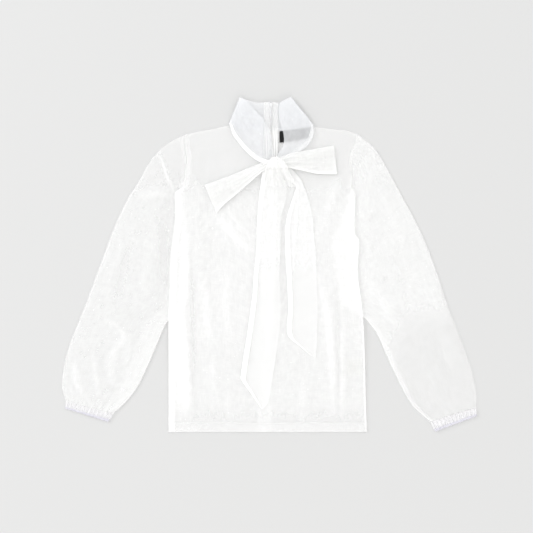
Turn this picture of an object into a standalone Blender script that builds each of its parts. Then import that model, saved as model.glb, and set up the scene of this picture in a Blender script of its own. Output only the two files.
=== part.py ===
"""Tie neck blouse, laid flat and face up.

Units are metres, +Z is up. The blouse lies on z = 0 with the collar towards +Y and the hem towards -Y.
Left is -X. All tables are in millimetres.
"""

import math

import bmesh
import bpy
from mathutils import Vector

MM = 0.001

# Cloth sizes in millimetres.
WALL = 1.0
SEAM_GAP = 0.35
LAYER_GAP = 0.3
HEM_Y = -355.4
LABEL_WALL = 0.5
TAPE_WALL = 0.6
TAPE_IN = 1.6
TAPE_OUT = 15.5
COIL_HALF = 1.2
COIL_HEIGHT = 1.6

# Heights in millimetres.
FRONT_OVER_BACK = WALL + LAYER_GAP
COLLAR_OVER_FRONT = WALL + LAYER_GAP
SLEEVE_HEIGHT = 2.4
SLEEVE_ARCH = 3.2
SLEEVE_EDGE = 1.2
BODY_OVER_SLEEVE = SLEEVE_HEIGHT + LAYER_GAP
LIFT_MARGIN = 24.0
LIFT_RAMP = 26.0
COLLAR_LIFT = 4.5
COLLAR_LIFT_LENGTH = 29.0
LOOP_PUFF = 2.6
KNOT_Z = 7.6

# Centre back line: straight from the hem to the neck.
CENTRE_HEM = (-10.9, -355.4)
CENTRE_NECK = (2.9, 283.4)
CENTRE_TOP_Y = 343.2
ZIP_END_Y = -74.5

# Columns: level_y, x. Side edge of the body up to the underarm, then the armhole seam up to the shoulder.
LEFT_SIDE = (
    (-355.4, -214.4),
    (-94.6, -214.4),
    (-45.8, -211.2),
    (17.8, -209.1),
    (72.9, -202.1),
    (102.6, -199.2),
    (153.4, -200.6),
    (164.0, -182.8),
    (183.1, -180.1),
    (202.2, -176.9),
    (221.3, -175.6),
    (240.4, -178.2),
    (257.3, -180.5),
    (274.5, -180.5),
)
RIGHT_SIDE = (
    (-355.4, 206.4),
    (-296.0, 204.3),
    (-236.6, 202.8),
    (-177.3, 201.3),
    (-117.9, 198.3),
    (-73.4, 193.7),
    (-16.2, 186.5),
    (48.5, 189.4),
    (66.5, 180.5),
    (123.8, 180.5),
    (153.4, 181.0),
    (164.0, 171.8),
    (183.1, 173.8),
    (202.2, 171.0),
    (221.3, 169.3),
    (240.4, 173.1),
    (257.3, 181.8),
    (274.5, 188.2),
)

# Levels of the rows of the body, at its sides, from hem to shoulder.
LEVELS = (
    -355.4,
    -338.4,
    -308.7,
    -270.6,
    -232.4,
    -194.2,
    -156.1,
    -122.2,
    -94.6,
    -67.0,
    -33.1,
    0.8,
    34.7,
    68.6,
    102.6,
    128.0,
    153.4,
    164.0,
    183.1,
    202.2,
    221.3,
    240.4,
    257.3,
    274.5,
)

# Columns: hem_x, top_x, top_y. One row for each lengthwise line of the front.
FRONT_LINES = (
    (-214.4, -180.5, 274.5),
    (-205.9, -174.1, 276.4),
    (-194.3, -164.6, 278.5),
    (-181.6, -154.0, 280.6),
    (-168.8, -143.4, 282.8),
    (-156.1, -132.8, 284.9),
    (-141.3, -120.1, 287.4),
    (-124.3, -104.2, 290.6),
    (-107.4, -88.3, 293.8),
    (-94.6, -81.9, 285.9),
    (-81.9, -70.3, 274.3),
    (-66.0, -52.2, 254.1),
    (-47.8, -34.0, 237.2),
    (-27.9, -14.1, 226.6),
    (-10.9, 2.9, 222.8),
    (6.1, 19.8, 226.6),
    (26.0, 39.8, 237.6),
    (44.2, 58.0, 249.3),
    (60.1, 73.9, 261.6),
    (75.0, 86.6, 275.3),
    (89.8, 95.1, 291.2),
    (104.6, 107.8, 290.0),
    (117.4, 118.4, 288.7),
    (130.1, 129.0, 287.4),
    (141.7, 139.6, 286.1),
    (153.4, 150.2, 285.3),
    (166.1, 160.8, 284.2),
    (178.8, 170.4, 282.1),
    (192.6, 179.9, 278.5),
    (206.4, 188.2, 274.5),
)

# Columns: x, y. Back neckline.
BACK_NECK = (
    (-88.3, 293.8),
    (-67.1, 288.5),
    (-45.9, 285.5),
    (-24.7, 283.8),
    (2.9, 283.4),
    (28.3, 284.0),
    (53.8, 285.7),
    (75.0, 288.3),
    (95.1, 291.2),
)

# Columns: low_x, low_y, high_x, high_y, half_width, height. Long folds of the front.
FRONT_FOLDS = (
    (-168.8, -351.1, -183.7, -75.5, 14.0, 3.2),
    (-122.2, -287.5, -132.8, 5.0, 15.0, 3.0),
    (132.2, -351.1, 113.1, -16.2, 15.0, 3.2),
    (157.6, -351.1, 153.4, -113.7, 12.0, 2.6),
    (-39.5, 26.2, -107.4, 102.6, 13.0, 2.2),
)

# Columns: half_x, ramp, low_y, high_y, height. Room over the zip, measured from the centre back line.
ZIP_PAD = (17.0, 20.0, ZIP_END_Y - 8.0, 400.0, 2.1)
# Columns: low_x, high_x, low_y, high_y, ramp, height. Room over the two labels.
LABEL_PADS = (
    (13.5, 98.3, 251.0, 310.3, 22.0, 0.8),
    (144.9, 204.3, -247.2, -187.9, 22.0, 0.9),
)

# Columns: outer_x, outer_y, inner_x, inner_y. Lines across each sleeve from the armhole to the cuff.
SLEEVE_LEFT = (
    (-180.5, 274.5, -182.8, 164.0),
    (-217.2, 255.2, -180.3, 145.0),
    (-249.8, 223.8, -178.4, 123.8),
    (-279.5, 173.4, -176.7, 98.3),
    (-303.2, 134.8, -173.9, 68.6),
    (-330.2, 76.7, -171.0, 19.9),
    (-356.9, 5.0, -172.4, -45.8),
    (-378.7, -54.3, -178.4, -90.4),
    (-389.5, -82.5, -196.4, -108.4),
    (-404.2, -120.0, -219.3, -125.3),
    (-419.0, -156.1, -237.7, -166.7),
    (-431.7, -196.4, -256.8, -211.2),
    (-439.1, -236.6, -278.0, -255.7),
    (-439.6, -264.2, -302.4, -288.6),
    (-431.7, -289.6, -331.7, -316.4),
)
CUFF_LEFT = (
    (-431.9, -290.3, -332.1, -317.0),
    (-433.4, -298.1, -335.3, -324.6),
    (-433.8, -305.1, -342.7, -333.7),
)
SLEEVE_RIGHT = (
    (188.2, 274.5, 171.8, 164.0),
    (213.2, 255.2, 167.2, 138.6),
    (228.2, 238.9, 159.8, 115.3),
    (246.0, 209.0, 149.2, 89.8),
    (266.8, 170.4, 137.5, 63.3),
    (287.6, 131.6, 133.0, 32.6),
    (305.4, 99.0, 138.6, 3.8),
    (329.4, 48.5, 143.4, -35.2),
    (353.1, -14.0, 148.1, -75.5),
    (367.5, -58.6, 166.1, -94.6),
    (379.2, -92.5, 195.8, -109.4),
    (397.6, -139.1, 228.2, -148.0),
    (418.4, -195.5, 250.9, -199.5),
    (430.1, -232.4, 275.7, -252.1),
    (438.1, -272.7, 302.4, -299.6),
    (438.1, -303.4, 340.6, -333.7),
)
CUFF_RIGHT = (
    (438.1, -304.1, 341.0, -334.4),
    (438.8, -313.0, 346.1, -344.8),
    (439.6, -321.4, 351.4, -354.1),
)

# Columns: x, y. Top edge of the back of the collar, from the zip to the fold.
COLLAR_LEFT_TOP = (
    (2.2, 345.3),
    (-16.2, 342.1),
    (-37.4, 345.3),
    (-50.1, 349.5),
    (-61.8, 353.6),
)
COLLAR_RIGHT_TOP = (
    (3.5, 345.3),
    (17.7, 341.1),
    (28.3, 345.3),
    (36.8, 350.6),
    (43.6, 354.2),
)
# Columns: seam_x, seam_y, free_x, free_y. The front of the collar, from the fold to the knot.
COLLAR_LEFT_FRONT = (
    (-85.1, 296.7, -61.8, 353.6),
    (-78.7, 276.4, -52.2, 348.5),
    (-70.0, 263.3, -44.6, 343.0),
    (-58.6, 248.8, -30.0, 325.2),
    (-46.3, 235.7, -16.2, 307.1),
    (-28.9, 221.3, -7.7, 278.5),
    (-9.8, 212.8, 0.8, 248.8),
    (3.9, 209.6, 9.7, 227.6),
)
COLLAR_RIGHT_FRONT = (
    (91.9, 294.6, 43.6, 354.2),
    (93.0, 276.4, 32.6, 348.5),
    (83.0, 255.2, 21.5, 340.0),
    (66.5, 240.8, 20.3, 310.3),
    (51.6, 231.9, 22.0, 280.6),
    (34.7, 222.3, 23.0, 253.1),
    (14.5, 209.6, 13.1, 227.6),
)

# Columns: upper_x, upper_y, lower_x, lower_y. Edges of each bow loop from the knot to its fold.
LOOP_LEFT = (
    (10.5, 221.3, 10.5, 208.6),
    (-1.4, 221.5, -1.4, 206.6),
    (-24.7, 212.2, -23.6, 189.5),
    (-50.1, 201.8, -48.0, 168.3),
    (-77.7, 190.5, -71.3, 147.9),
    (-107.4, 178.9, -94.6, 128.4),
    (-133.9, 168.5, -110.5, 112.1),
)
LOOP_RIGHT = (
    (12.2, 221.3, 12.2, 207.7),
    (24.1, 222.5, 24.1, 207.3),
    (43.2, 234.8, 45.3, 203.7),
    (66.5, 239.3, 70.7, 198.4),
    (91.9, 243.7, 97.2, 192.4),
    (115.2, 248.2, 121.6, 191.2),
    (135.4, 251.6, 142.4, 191.0),
)
# Columns: share, rise. Height of a loop over the front from the knot to its fold.
LOOP_RISE = (
    (0.0, 5.9),
    (0.17, 5.6),
    (0.3, 3.7),
    (0.5, 2.3),
    (0.75, 0.9),
    (1.0, 0.6),
)

# Columns: left_x, left_y, right_x, right_y. Lines across each tie end from the knot to its tip.
TAIL_LEFT = (
    (-6.7, 217.0, 8.6, 217.0),
    (-15.1, 195.8, 23.0, 195.8),
    (-19.4, 166.2, 35.1, 166.2),
    (-23.4, 134.4, 33.2, 132.2),
    (-25.7, 102.6, 24.1, 102.6),
    (-26.8, 72.9, 22.8, 72.9),
    (-28.3, 30.5, 22.4, 30.5),
    (-32.7, -14.0, 20.7, -14.0),
    (-35.7, -58.6, 22.0, -58.6),
    (-41.6, -103.1, 23.2, -103.1),
    (-47.6, -147.6, 19.4, -147.6),
    (-55.0, -192.1, 13.5, -194.2),
    (-60.7, -232.4, 6.5, -236.6),
    (-60.3, -244.1, 2.9, -262.1),
    (-42.7, -269.5, 0.3, -279.0),
    (-27.9, -290.9, -3.5, -291.8),
    (-16.6, -307.0, -12.0, -305.8),
)
TAIL_RIGHT = (
    (11.4, 217.0, 26.2, 220.2),
    (26.6, 193.7, 51.6, 196.9),
    (41.0, 178.9, 66.5, 178.9),
    (55.9, 164.0, 72.8, 164.5),
    (46.8, 134.8, 83.0, 134.8),
    (36.6, 101.9, 90.4, 101.9),
    (32.3, 72.2, 92.8, 72.2),
    (33.2, 43.2, 95.7, 43.2),
    (33.8, 12.7, 98.7, 12.7),
    (37.6, -46.7, 100.2, -43.7),
    (39.3, -94.4, 101.5, -94.6),
    (37.9, -147.6, 100.4, -151.8),
    (62.2, -172.0, 98.9, -179.4),
    (87.7, -193.2, 97.6, -198.1),
)

# Columns: x, y of the lower left, lower right, upper right and upper left corner.
NECK_LABEL = ((21.1, 258.2), (83.4, 267.9), (86.8, 290.8), (21.1, 282.3))
CARE_LABEL = ((153.4, -237.3), (195.8, -237.3), (195.8, -197.4), (153.4, -197.4))

# Knot of the bow in millimetres.
KNOT_CENTRE = (11.4, 214.9)
KNOT_WIDTH = 22.0
KNOT_DEPTH = 27.0
KNOT_HEIGHT = 10.4
KNOT_WALL = 1.4
KNOT_SIDES = 20

# Slider and pull of the zip in millimetres.
SLIDER_WIDTH = 5.2
SLIDER_LENGTH = 8.0
SLIDER_HEIGHT = 2.6
SLIDER_Y = CENTRE_TOP_Y - 5.6
LUG_WIDTH = 1.2
LUG_RADIUS = 1.8
LUG_HOLE = 0.95
LUG_Z = 2.2
PULL_WIDTH = 5.0
PULL_LENGTH = 23.0
PULL_WALL = 0.8
PULL_WINDOW_WIDTH = 2.6
PULL_WINDOW_LENGTH = 2.3

# Materials. Columns: base colour, roughness, alpha.
ORGANZA = ((0.93, 0.93, 0.92), 0.6, 0.45)
ELASTIC = ((0.78, 0.76, 0.86), 0.7, 1.0)
TAPE = ((0.92, 0.92, 0.90), 0.7, 0.9)
COIL = ((0.90, 0.90, 0.90), 0.4, 1.0)
METAL = ((0.85, 0.85, 0.86), 0.35, 1.0)
BLACK_LABEL = ((0.02, 0.02, 0.02), 0.6, 1.0)
WHITE_LABEL = ((0.95, 0.95, 0.95), 0.6, 1.0)


def smooth(share):
    """Eases a share between 0 and 1."""
    share = min(max(share, 0.0), 1.0)
    return share * share * (3.0 - 2.0 * share)


def mix(first, second, share):
    """Goes from the first value to the second."""
    return first + (second - first) * share


def table_at(table, place, column=1):
    """Reads a column of a table at a place in its first column."""
    rows = sorted(table)
    if place <= rows[0][0]:
        return rows[0][column]
    for low, high in zip(rows, rows[1:]):
        if place <= high[0]:
            return mix(low[column], high[column], (place - low[0]) / (high[0] - low[0]))
    return rows[-1][column]


def along(points, share):
    """Goes along a row of points by their number."""
    place = min(max(share, 0.0), 1.0) * (len(points) - 1)
    number = min(int(place), len(points) - 2)
    part = place - number
    low, high = points[number], points[number + 1]
    return tuple(mix(a, b, part) for a, b in zip(low, high))


def centre_x(y):
    """Gives the centre back line at a level."""
    share = (y - CENTRE_HEM[1]) / (CENTRE_NECK[1] - CENTRE_HEM[1])
    return mix(CENTRE_HEM[0], CENTRE_NECK[0], min(share, 1.0))


def outline_of(lines):
    """Gives the outline of a sleeve from its lines across."""
    outer = [(row[0], row[1]) for row in lines]
    inner = [(row[2], row[3]) for row in lines]
    return outer + inner[::-1]


def distance_to(outline, x, y):
    """Gives the distance from a point to an outline, 0 inside it."""
    inside = False
    nearest = 1e9
    for (ax, ay), (bx, by) in zip(outline, outline[1:] + outline[:1]):
        if (ay > y) != (by > y) and x < ax + (y - ay) * (bx - ax) / (by - ay):
            inside = not inside
        length = (bx - ax) ** 2 + (by - ay) ** 2
        share = 0.0 if length == 0 else ((x - ax) * (bx - ax) + (y - ay) * (by - ay)) / length
        share = min(max(share, 0.0), 1.0)
        nearest = min(nearest, math.hypot(x - mix(ax, bx, share), y - mix(ay, by, share)))
    return 0.0 if inside else nearest


SLEEVE_OUTLINES = (outline_of(SLEEVE_LEFT), outline_of(SLEEVE_RIGHT))
NECK_Y = CENTRE_NECK[1]


def back_z(x, y):
    """Height of the underside of the back: over the sleeves, and raised at the top of the collar."""
    near = min(distance_to(outline, x, y) for outline in SLEEVE_OUTLINES)
    over = BODY_OVER_SLEEVE * smooth((LIFT_MARGIN + LIFT_RAMP - near) / LIFT_RAMP)
    down = smooth((270.0 - y) / (270.0 - 183.1))
    return over * down + COLLAR_LIFT * smooth((y - table_at(BACK_NECK, x, 1)) / COLLAR_LIFT_LENGTH)


def pad_height(x, y):
    """Extra height of the front over the zip and the labels."""
    half_x, ramp, low_y, high_y, height = ZIP_PAD
    across = min(max((half_x + ramp - abs(x - centre_x(y))) / ramp, 0.0), 1.0)
    below = min(max((y - low_y + ramp) / ramp, 0.0), 1.0)
    most = height * across * below
    for low_x, high_x, low_y, high_y, ramp, height in LABEL_PADS:
        away_x = max(low_x - x, x - high_x, 0.0)
        away_y = max(low_y - y, y - high_y, 0.0)
        most = max(most, height * max(1.0 - max(away_x, away_y) / ramp, 0.0))
    return most


def fold_height(x, y):
    """Height of the long folds of the front."""
    total = 0.0
    for low_x, low_y, high_x, high_y, half_width, height in FRONT_FOLDS:
        share = (y - low_y) / (high_y - low_y)
        if 0.0 <= share <= 1.0:
            away = abs(x - mix(low_x, high_x, share)) / half_width
            ends = smooth(min(share, 1.0 - share) * 6.0 + (0.7 if share < 0.5 else 0.0))
            total = max(total, height * ends * (1.0 - smooth(away)))
    return total


def front_z(x, y):
    """Height of the underside of the front, without its folds."""
    return back_z(x, y) + FRONT_OVER_BACK + pad_height(x, y)


def upper_z(x, y):
    """Height of the underside of what lies on the front."""
    return front_z(x, y) + COLLAR_OVER_FRONT


def new_material(name, values):
    """Makes the material of one piece from a row of the materials."""
    colour, roughness, alpha = values
    material = bpy.data.materials.new(name)
    material.use_nodes = True
    shader = material.node_tree.nodes["Principled BSDF"]
    shader.inputs["Base Color"].default_value = (*colour, 1.0)
    shader.inputs["Roughness"].default_value = roughness
    shader.inputs["Alpha"].default_value = alpha
    return material


def new_object(name, mesh, material, collection):
    """Puts a mesh into a collection as an object with a material of its own."""
    thing = bpy.data.objects.new(name, mesh)
    collection.objects.link(thing)
    thing.data.materials.append(new_material(name, material))
    return thing


def sheet(name, rows, thickness, side, material, collection):
    """Makes a cloth shell on rows of points in millimetres. Side 1 adds the cloth above them, 0 about them."""
    along_count = len(rows) - 1
    across_count = len(rows[0]) - 1
    shape = bmesh.new()
    bmesh.ops.create_grid(shape, x_segments=across_count, y_segments=along_count, size=1.0)
    for vertex in shape.verts:
        column = round((vertex.co.x + 1.0) / 2.0 * across_count)
        row = round((vertex.co.y + 1.0) / 2.0 * along_count)
        vertex.co = Vector(rows[row][column]) * MM
    mesh = bpy.data.meshes.new(name)
    shape.to_mesh(mesh)
    shape.free()
    thing = new_object(name, mesh, material, collection)
    shell = thing.modifiers.new("cloth thickness", "SOLIDIFY")
    shell.thickness = thickness * MM
    shell.offset = side
    shell.use_even_offset = False
    return thing


def loft(name, sections, material, collection, holes=None):
    """Joins closed sections of points in millimetres. With holes, each section has an inner ring too."""
    shape = bmesh.new()
    outer = [[shape.verts.new(Vector(point) * MM) for point in ring] for ring in sections]
    count = len(outer[0])
    for low, high in zip(outer, outer[1:]):
        for number in range(count):
            after = (number + 1) % count
            shape.faces.new((low[number], low[after], high[after], high[number]))
    if holes is None:
        shape.faces.new(outer[0])
        shape.faces.new(outer[-1])
    else:
        inner = [[shape.verts.new(Vector(point) * MM) for point in ring] for ring in holes]
        for low, high in zip(inner, inner[1:]):
            for number in range(count):
                after = (number + 1) % count
                shape.faces.new((low[number], high[number], high[after], low[after]))
        for outer_ring, inner_ring in ((outer[0], inner[0]), (outer[-1], inner[-1])):
            for number in range(count):
                after = (number + 1) % count
                shape.faces.new((outer_ring[number], outer_ring[after], inner_ring[after], inner_ring[number]))
    bmesh.ops.recalc_face_normals(shape, faces=shape.faces)
    mesh = bpy.data.meshes.new(name)
    shape.to_mesh(mesh)
    shape.free()
    return new_object(name, mesh, material, collection)


def side_shift(table, level):
    """How far the side of the body stands off a straight line from hem to shoulder."""
    low, high = min(table), max(table)
    share = (level - low[0]) / (high[0] - low[0])
    return table_at(table, level) - mix(low[1], high[1], share)


def body_point(line, level):
    """Place of a lengthwise line of the body at a level, in the plane."""
    hem_x, top_x, top_y = line
    top_level = max(LEVELS)
    share = (level - HEM_Y) / (top_level - HEM_Y)
    width = RIGHT_SIDE[0][1] - LEFT_SIDE[0][1]
    across = (hem_x - LEFT_SIDE[0][1]) / width
    x = mix(hem_x, top_x, share)
    x += side_shift(LEFT_SIDE, level) * max(1.0 - across / 0.4, 0.0)
    x += side_shift(RIGHT_SIDE, level) * max(1.0 - (1.0 - across) / 0.4, 0.0)
    return x, mix(HEM_Y, top_y, share)


def body_rows(lines, height):
    """Rows of points of a body panel."""
    rows = []
    for level in LEVELS:
        row = []
        for line in lines:
            x, y = body_point(line, level)
            row.append((x, y, height(x, y)))
        rows.append(row)
    return rows


def back_lines():
    """Lengthwise lines of the back: the front's lines with the back neckline."""
    lines = []
    for hem_x, top_x, top_y in FRONT_LINES:
        if BACK_NECK[0][0] <= top_x <= BACK_NECK[-1][0]:
            top_y = table_at(BACK_NECK, top_x)
        lines.append((hem_x, top_x, top_y))
    return lines


def build_body(collection):
    """Front, and the two halves of the back."""
    rows = body_rows(FRONT_LINES, lambda x, y: front_z(x, y) + fold_height(x, y))

    sheet("front_panel", rows, WALL, 1.0, ORGANZA, collection)
    lines = back_lines()
    middle = [number for number, line in enumerate(lines) if abs(line[0] - CENTRE_HEM[0]) < 0.5][0]
    halves = (
        ("back_left", lines[: middle + 1], -SEAM_GAP / 2.0),
        ("back_right", lines[middle:], SEAM_GAP / 2.0),
    )
    for name, part, shift in halves:
        rows = body_rows(part, back_z)
        edge = -1 if shift < 0 else 0
        for row in rows:
            x, y, z = row[edge]
            row[edge] = (x + shift, y, z)
        sheet(name, rows, WALL, 1.0, ORGANZA, collection)


def armhole_points(table):
    """The armhole seam from the shoulder to the underarm."""
    rows = sorted(table, reverse=True)
    return [(x, level) for level, x in rows if level >= 163.0]


def build_sleeve(name, lines, side_table, side, material, collection):
    """One sleeve as a flattened tube, under the body at its inner edge."""
    armhole = armhole_points(side_table)
    steps = [number / 12.0 for number in range(13)]
    steps = [0.0, 0.03] + steps[1:-1] + [0.97, 1.0]
    sections = []
    holes = []
    for number, row in enumerate(lines):
        top = []
        bottom = []
        top_in = []
        bottom_in = []
        for step in steps:
            if number == 0:
                x, y = along(armhole, step)
                x += side * SEAM_GAP
            else:
                x = mix(row[0], row[2], step)
                y = mix(row[1], row[3], step)
            body_edge = table_at(side_table, max(y, -355.4))
            away = side * (x - body_edge) - 4.0
            rise = smooth(away / 30.0) * math.sin(math.pi * step) ** 0.5 if 0.0 < step < 1.0 else 0.0
            rise *= smooth(number / 3.0)
            edge = 0.5 if step in (0.0, 1.0) else 0.0
            top.append((x, y, SLEEVE_HEIGHT + SLEEVE_ARCH * rise - edge))
            bottom.append((x, y, edge))
            inset_x, inset_y = x, y
            if step in (0.0, 1.0, 0.03, 0.97):
                inward = 1.0 if step < 0.5 else -1.0
                span = math.hypot(row[2] - row[0], row[3] - row[1])
                push = SLEEVE_EDGE * inward
                inset_x += push * (row[2] - row[0]) / span
                inset_y += push * (row[3] - row[1]) / span
            tuck = 0.15 if edge else 0.0
            top_in.append((inset_x, inset_y, SLEEVE_HEIGHT + SLEEVE_ARCH * rise - WALL - tuck))
            bottom_in.append((inset_x, inset_y, WALL + tuck))
        sections.append(top + bottom[::-1])
        holes.append(top_in + bottom_in[::-1])
    return loft(name, sections, material, collection, holes)


def build_cuff(name, lines, material, collection):
    """One elastic cuff as a flattened ring."""
    steps = (0.0, 0.03, 0.2, 0.35, 0.5, 0.65, 0.8, 0.97, 1.0)
    sections = []
    holes = []
    for row in lines:
        top = []
        bottom = []
        top_in = []
        bottom_in = []
        span = math.hypot(row[2] - row[0], row[3] - row[1])
        for step in steps:
            x = mix(row[0], row[2], step)
            y = mix(row[1], row[3], step)
            edge = 0.5 if step in (0.0, 1.0) else 0.0
            top.append((x, y, SLEEVE_HEIGHT + 0.4 - edge))
            bottom.append((x, y, edge))
            if step in (0.0, 1.0, 0.03, 0.97):
                push = SLEEVE_EDGE * (1.0 if step < 0.5 else -1.0)
                x += push * (row[2] - row[0]) / span
                y += push * (row[3] - row[1]) / span
            tuck = 0.15 if edge else 0.0
            top_in.append((x, y, SLEEVE_HEIGHT + 0.4 - WALL - tuck))
            bottom_in.append((x, y, WALL + tuck))
        sections.append(top + bottom[::-1])
        holes.append(top_in + bottom_in[::-1])
    return loft(name, sections, material, collection, holes)


def folded_rows(under, over, across_count, under_z, over_z, out):
    """Rows of a strip folded over at its far end. Both tables run from the near end to the fold."""
    rows = []
    shares = [number / across_count for number in range(across_count + 1)]

    def line(row, height, order):
        result = []
        for share in shares:
            x = mix(row[0], row[2], share)
            y = mix(row[1], row[3], share)
            result.append((x, y, height(x, y, order, share) + WALL / 2.0))
        return result

    for number, row in enumerate(under):
        rows.append(line(row, under_z, number / (len(under) - 1)))
    low = rows[-1]
    high = line(over[-1], over_z, 1.0)
    for angle in (-45.0, 0.0, 45.0):
        turn = math.radians(angle)
        arc = []
        for (ax, ay, az), (bx, by, bz) in zip(low, high):
            radius = (bz - az) / 2.0
            reach = radius * math.cos(turn)
            arc.append((ax + out[0] * reach, ay + out[1] * reach, (az + bz) / 2.0 + radius * math.sin(turn)))
        rows.append(arc)
    for number in range(len(over) - 1, -1, -1):
        rows.append(line(over[number], over_z, number / (len(over) - 1)))
    return rows


def outward(row, away_from):
    """Unit direction square to a fold, pointing away from a point."""
    dx, dy = row[2] - row[0], row[3] - row[1]
    length = math.hypot(dx, dy)
    square = (dy / length, -dx / length)
    middle = ((row[0] + row[2]) / 2.0, (row[1] + row[3]) / 2.0)
    sign = 1.0 if (middle[0] - away_from[0]) * square[0] + (middle[1] - away_from[1]) * square[1] > 0 else -1.0
    return square[0] * sign, square[1] * sign


def build_collar(name, top_edge, front, side, material, collection):
    """Half of the tie collar: its back beside the zip, its fold and its front down to the knot."""
    base = front[0]
    stations = [line for line in back_lines() if BACK_NECK[0][0] < line[1] < BACK_NECK[-1][0]]
    near = [line for line in stations if side * (line[1] - CENTRE_NECK[0]) > 5.0]
    near.sort(key=lambda line: side * line[1])
    back = [(CENTRE_NECK[0] + side * 1.0, CENTRE_NECK[1] + SEAM_GAP)]
    back += [(line[1], line[2] + SEAM_GAP) for line in near[:-1]]
    back.append((base[0], base[1]))
    under = []
    for number, (x, y) in enumerate(back):
        top_x, top_y = along(top_edge, number / (len(back) - 1))
        under.append((x, y, top_x, top_y))
    under[0] = (under[0][0], under[0][1], CENTRE_NECK[0] + side * 1.0, under[0][3])
    out = outward(base, (CENTRE_NECK[0], NECK_Y + 20.0))
    rows = folded_rows(
        under,
        front[::-1],
        8,
        lambda x, y, order, share: back_z(x, y),
        lambda x, y, order, share: upper_z(x, y) + 0.4,
        out,
    )
    return sheet(name, rows, WALL, 0.0, material, collection)


def build_loop(name, edges, material, collection):
    """One loop of the bow: two layers that meet at its outer fold."""
    out = outward(edges[-1], KNOT_CENTRE)

    def under_z(x, y, order, share):
        return upper_z(x, y) + table_at(LOOP_RISE, order)

    def over_z(x, y, order, share):
        puff = LOOP_PUFF * math.sin(math.pi * min(order * 0.9 + 0.06, 1.0)) * math.sin(math.pi * share) ** 0.7
        gather = 0.45 * math.cos(share * math.pi * 6.0) * (1.0 - smooth(order * 1.6))
        return under_z(x, y, order, share) + FRONT_OVER_BACK + 0.5 + puff + gather

    rows = folded_rows(edges, edges, 10, under_z, over_z, out)
    return sheet(name, rows, WALL, 0.0, material, collection)


def build_tail(name, lines, material, collection):
    """One tie end, laid on the front from under the knot to its diagonal tip."""
    rows = []
    for row in reversed(lines):
        points = []
        for number in range(7):
            x = mix(row[0], row[2], number / 6.0)
            y = mix(row[1], row[3], number / 6.0)
            near_knot = smooth((y - 145.0) / (195.8 - 145.0))
            points.append((x, y, upper_z(x, y) + mix(0.75, 1.6, near_knot)))
        rows.append(points)
    return sheet(name, rows, WALL, 1.0, material, collection)


def build_knot(material, collection):
    """The knot: a band of the tie wrapped round the pinched ends of the loops."""
    sections = []
    holes = []
    middle_z = KNOT_Z + KNOT_HEIGHT / 2.0
    for step, swell in ((-0.5, 0.86), (-0.42, 0.95), (-0.2, 1.0), (0.2, 1.0), (0.42, 0.95), (0.5, 0.86)):
        x = KNOT_CENTRE[0] + step * KNOT_WIDTH
        outer = []
        inner = []
        for number in range(KNOT_SIDES):
            turn = 2.0 * math.pi * number / KNOT_SIDES
            wave_y = math.copysign(abs(math.cos(turn)) ** 0.7, math.cos(turn))
            wave_z = math.copysign(abs(math.sin(turn)) ** 0.7, math.sin(turn))
            outer.append(
                (
                    x,
                    KNOT_CENTRE[1] + wave_y * KNOT_DEPTH / 2.0 * swell,
                    middle_z + wave_z * KNOT_HEIGHT / 2.0 * mix(0.9, 1.0, swell),
                )
            )
            inner.append(
                (
                    x,
                    KNOT_CENTRE[1] + wave_y * (KNOT_DEPTH / 2.0 * swell - KNOT_WALL),
                    middle_z + wave_z * (KNOT_HEIGHT / 2.0 * mix(0.9, 1.0, swell) - KNOT_WALL),
                )
            )
        sections.append(outer)
        holes.append(inner)
    return loft("bow_knot", sections, material, collection, holes)


def zip_levels():
    """Levels of the zip from its lower end to the top of the collar."""
    body = [ZIP_END_Y] + [level for level in LEVELS if ZIP_END_Y + 5.0 < level < NECK_Y - 5.0]
    collar = [mix(NECK_Y, CENTRE_TOP_Y, number / 8.0) for number in range(9)]
    return body + collar


def build_zip(collection, tools):
    """Zip tapes, coil, slider and pull at the centre back."""
    for name, near, far in (
        ("zip_tape_left", -TAPE_OUT, -TAPE_IN),
        ("zip_tape_right", TAPE_IN, TAPE_OUT),
    ):
        rows = []
        for y in zip_levels():
            middle = centre_x(y)
            row = [(mix(middle + near, middle + far, share), y) for share in (0.0, 0.5, 1.0)]
            rows.append([(x, y, back_z(middle, y) + FRONT_OVER_BACK) for x, y in row])
        sheet(name, rows, TAPE_WALL, 1.0, TAPE, collection)
    rows = []
    slider_end = SLIDER_Y - SLIDER_LENGTH / 2.0 - SEAM_GAP
    for y in [level for level in zip_levels() if level < slider_end - 2.0] + [slider_end]:
        middle = centre_x(y)
        z = back_z(middle, y) + FRONT_OVER_BACK
        rows.append([(middle - COIL_HALF, y, z), (middle, y, z), (middle + COIL_HALF, y, z)])
    sheet("zip_coil", rows, COIL_HEIGHT, 1.0, COIL, collection)
    build_slider(METAL, collection, tools)
    build_pull(METAL, collection, tools)


def box(name, low, high, material, collection, origin=None):
    """Makes a block between two corners in millimetres, with its origin in its middle or at a given point."""
    middle = [(a + b) / 2.0 for a, b in zip(low, high)]
    origin = origin or middle
    shape = bmesh.new()
    bmesh.ops.create_cube(shape, size=1.0)
    for vertex in shape.verts:
        for axis in range(3):
            reach = vertex.co[axis] * (high[axis] - low[axis])
            vertex.co[axis] = (middle[axis] + reach - origin[axis]) * MM
    mesh = bpy.data.meshes.new(name)
    shape.to_mesh(mesh)
    shape.free()
    thing = new_object(name, mesh, material, collection)
    thing.location = Vector(origin) * MM
    return thing


def rod(name, centre, radius, length, sides, material, collection):
    """Makes a cylinder along X about a centre in millimetres."""
    shape = bmesh.new()
    bmesh.ops.create_cone(
        shape, cap_ends=True, segments=sides, radius1=radius * MM, radius2=radius * MM, depth=length * MM
    )
    mesh = bpy.data.meshes.new(name)
    shape.to_mesh(mesh)
    shape.free()
    thing = new_object(name, mesh, material, collection)
    thing.location = Vector(centre) * MM
    thing.rotation_euler = (0.0, math.pi / 2.0, 0.0)
    return thing


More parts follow.
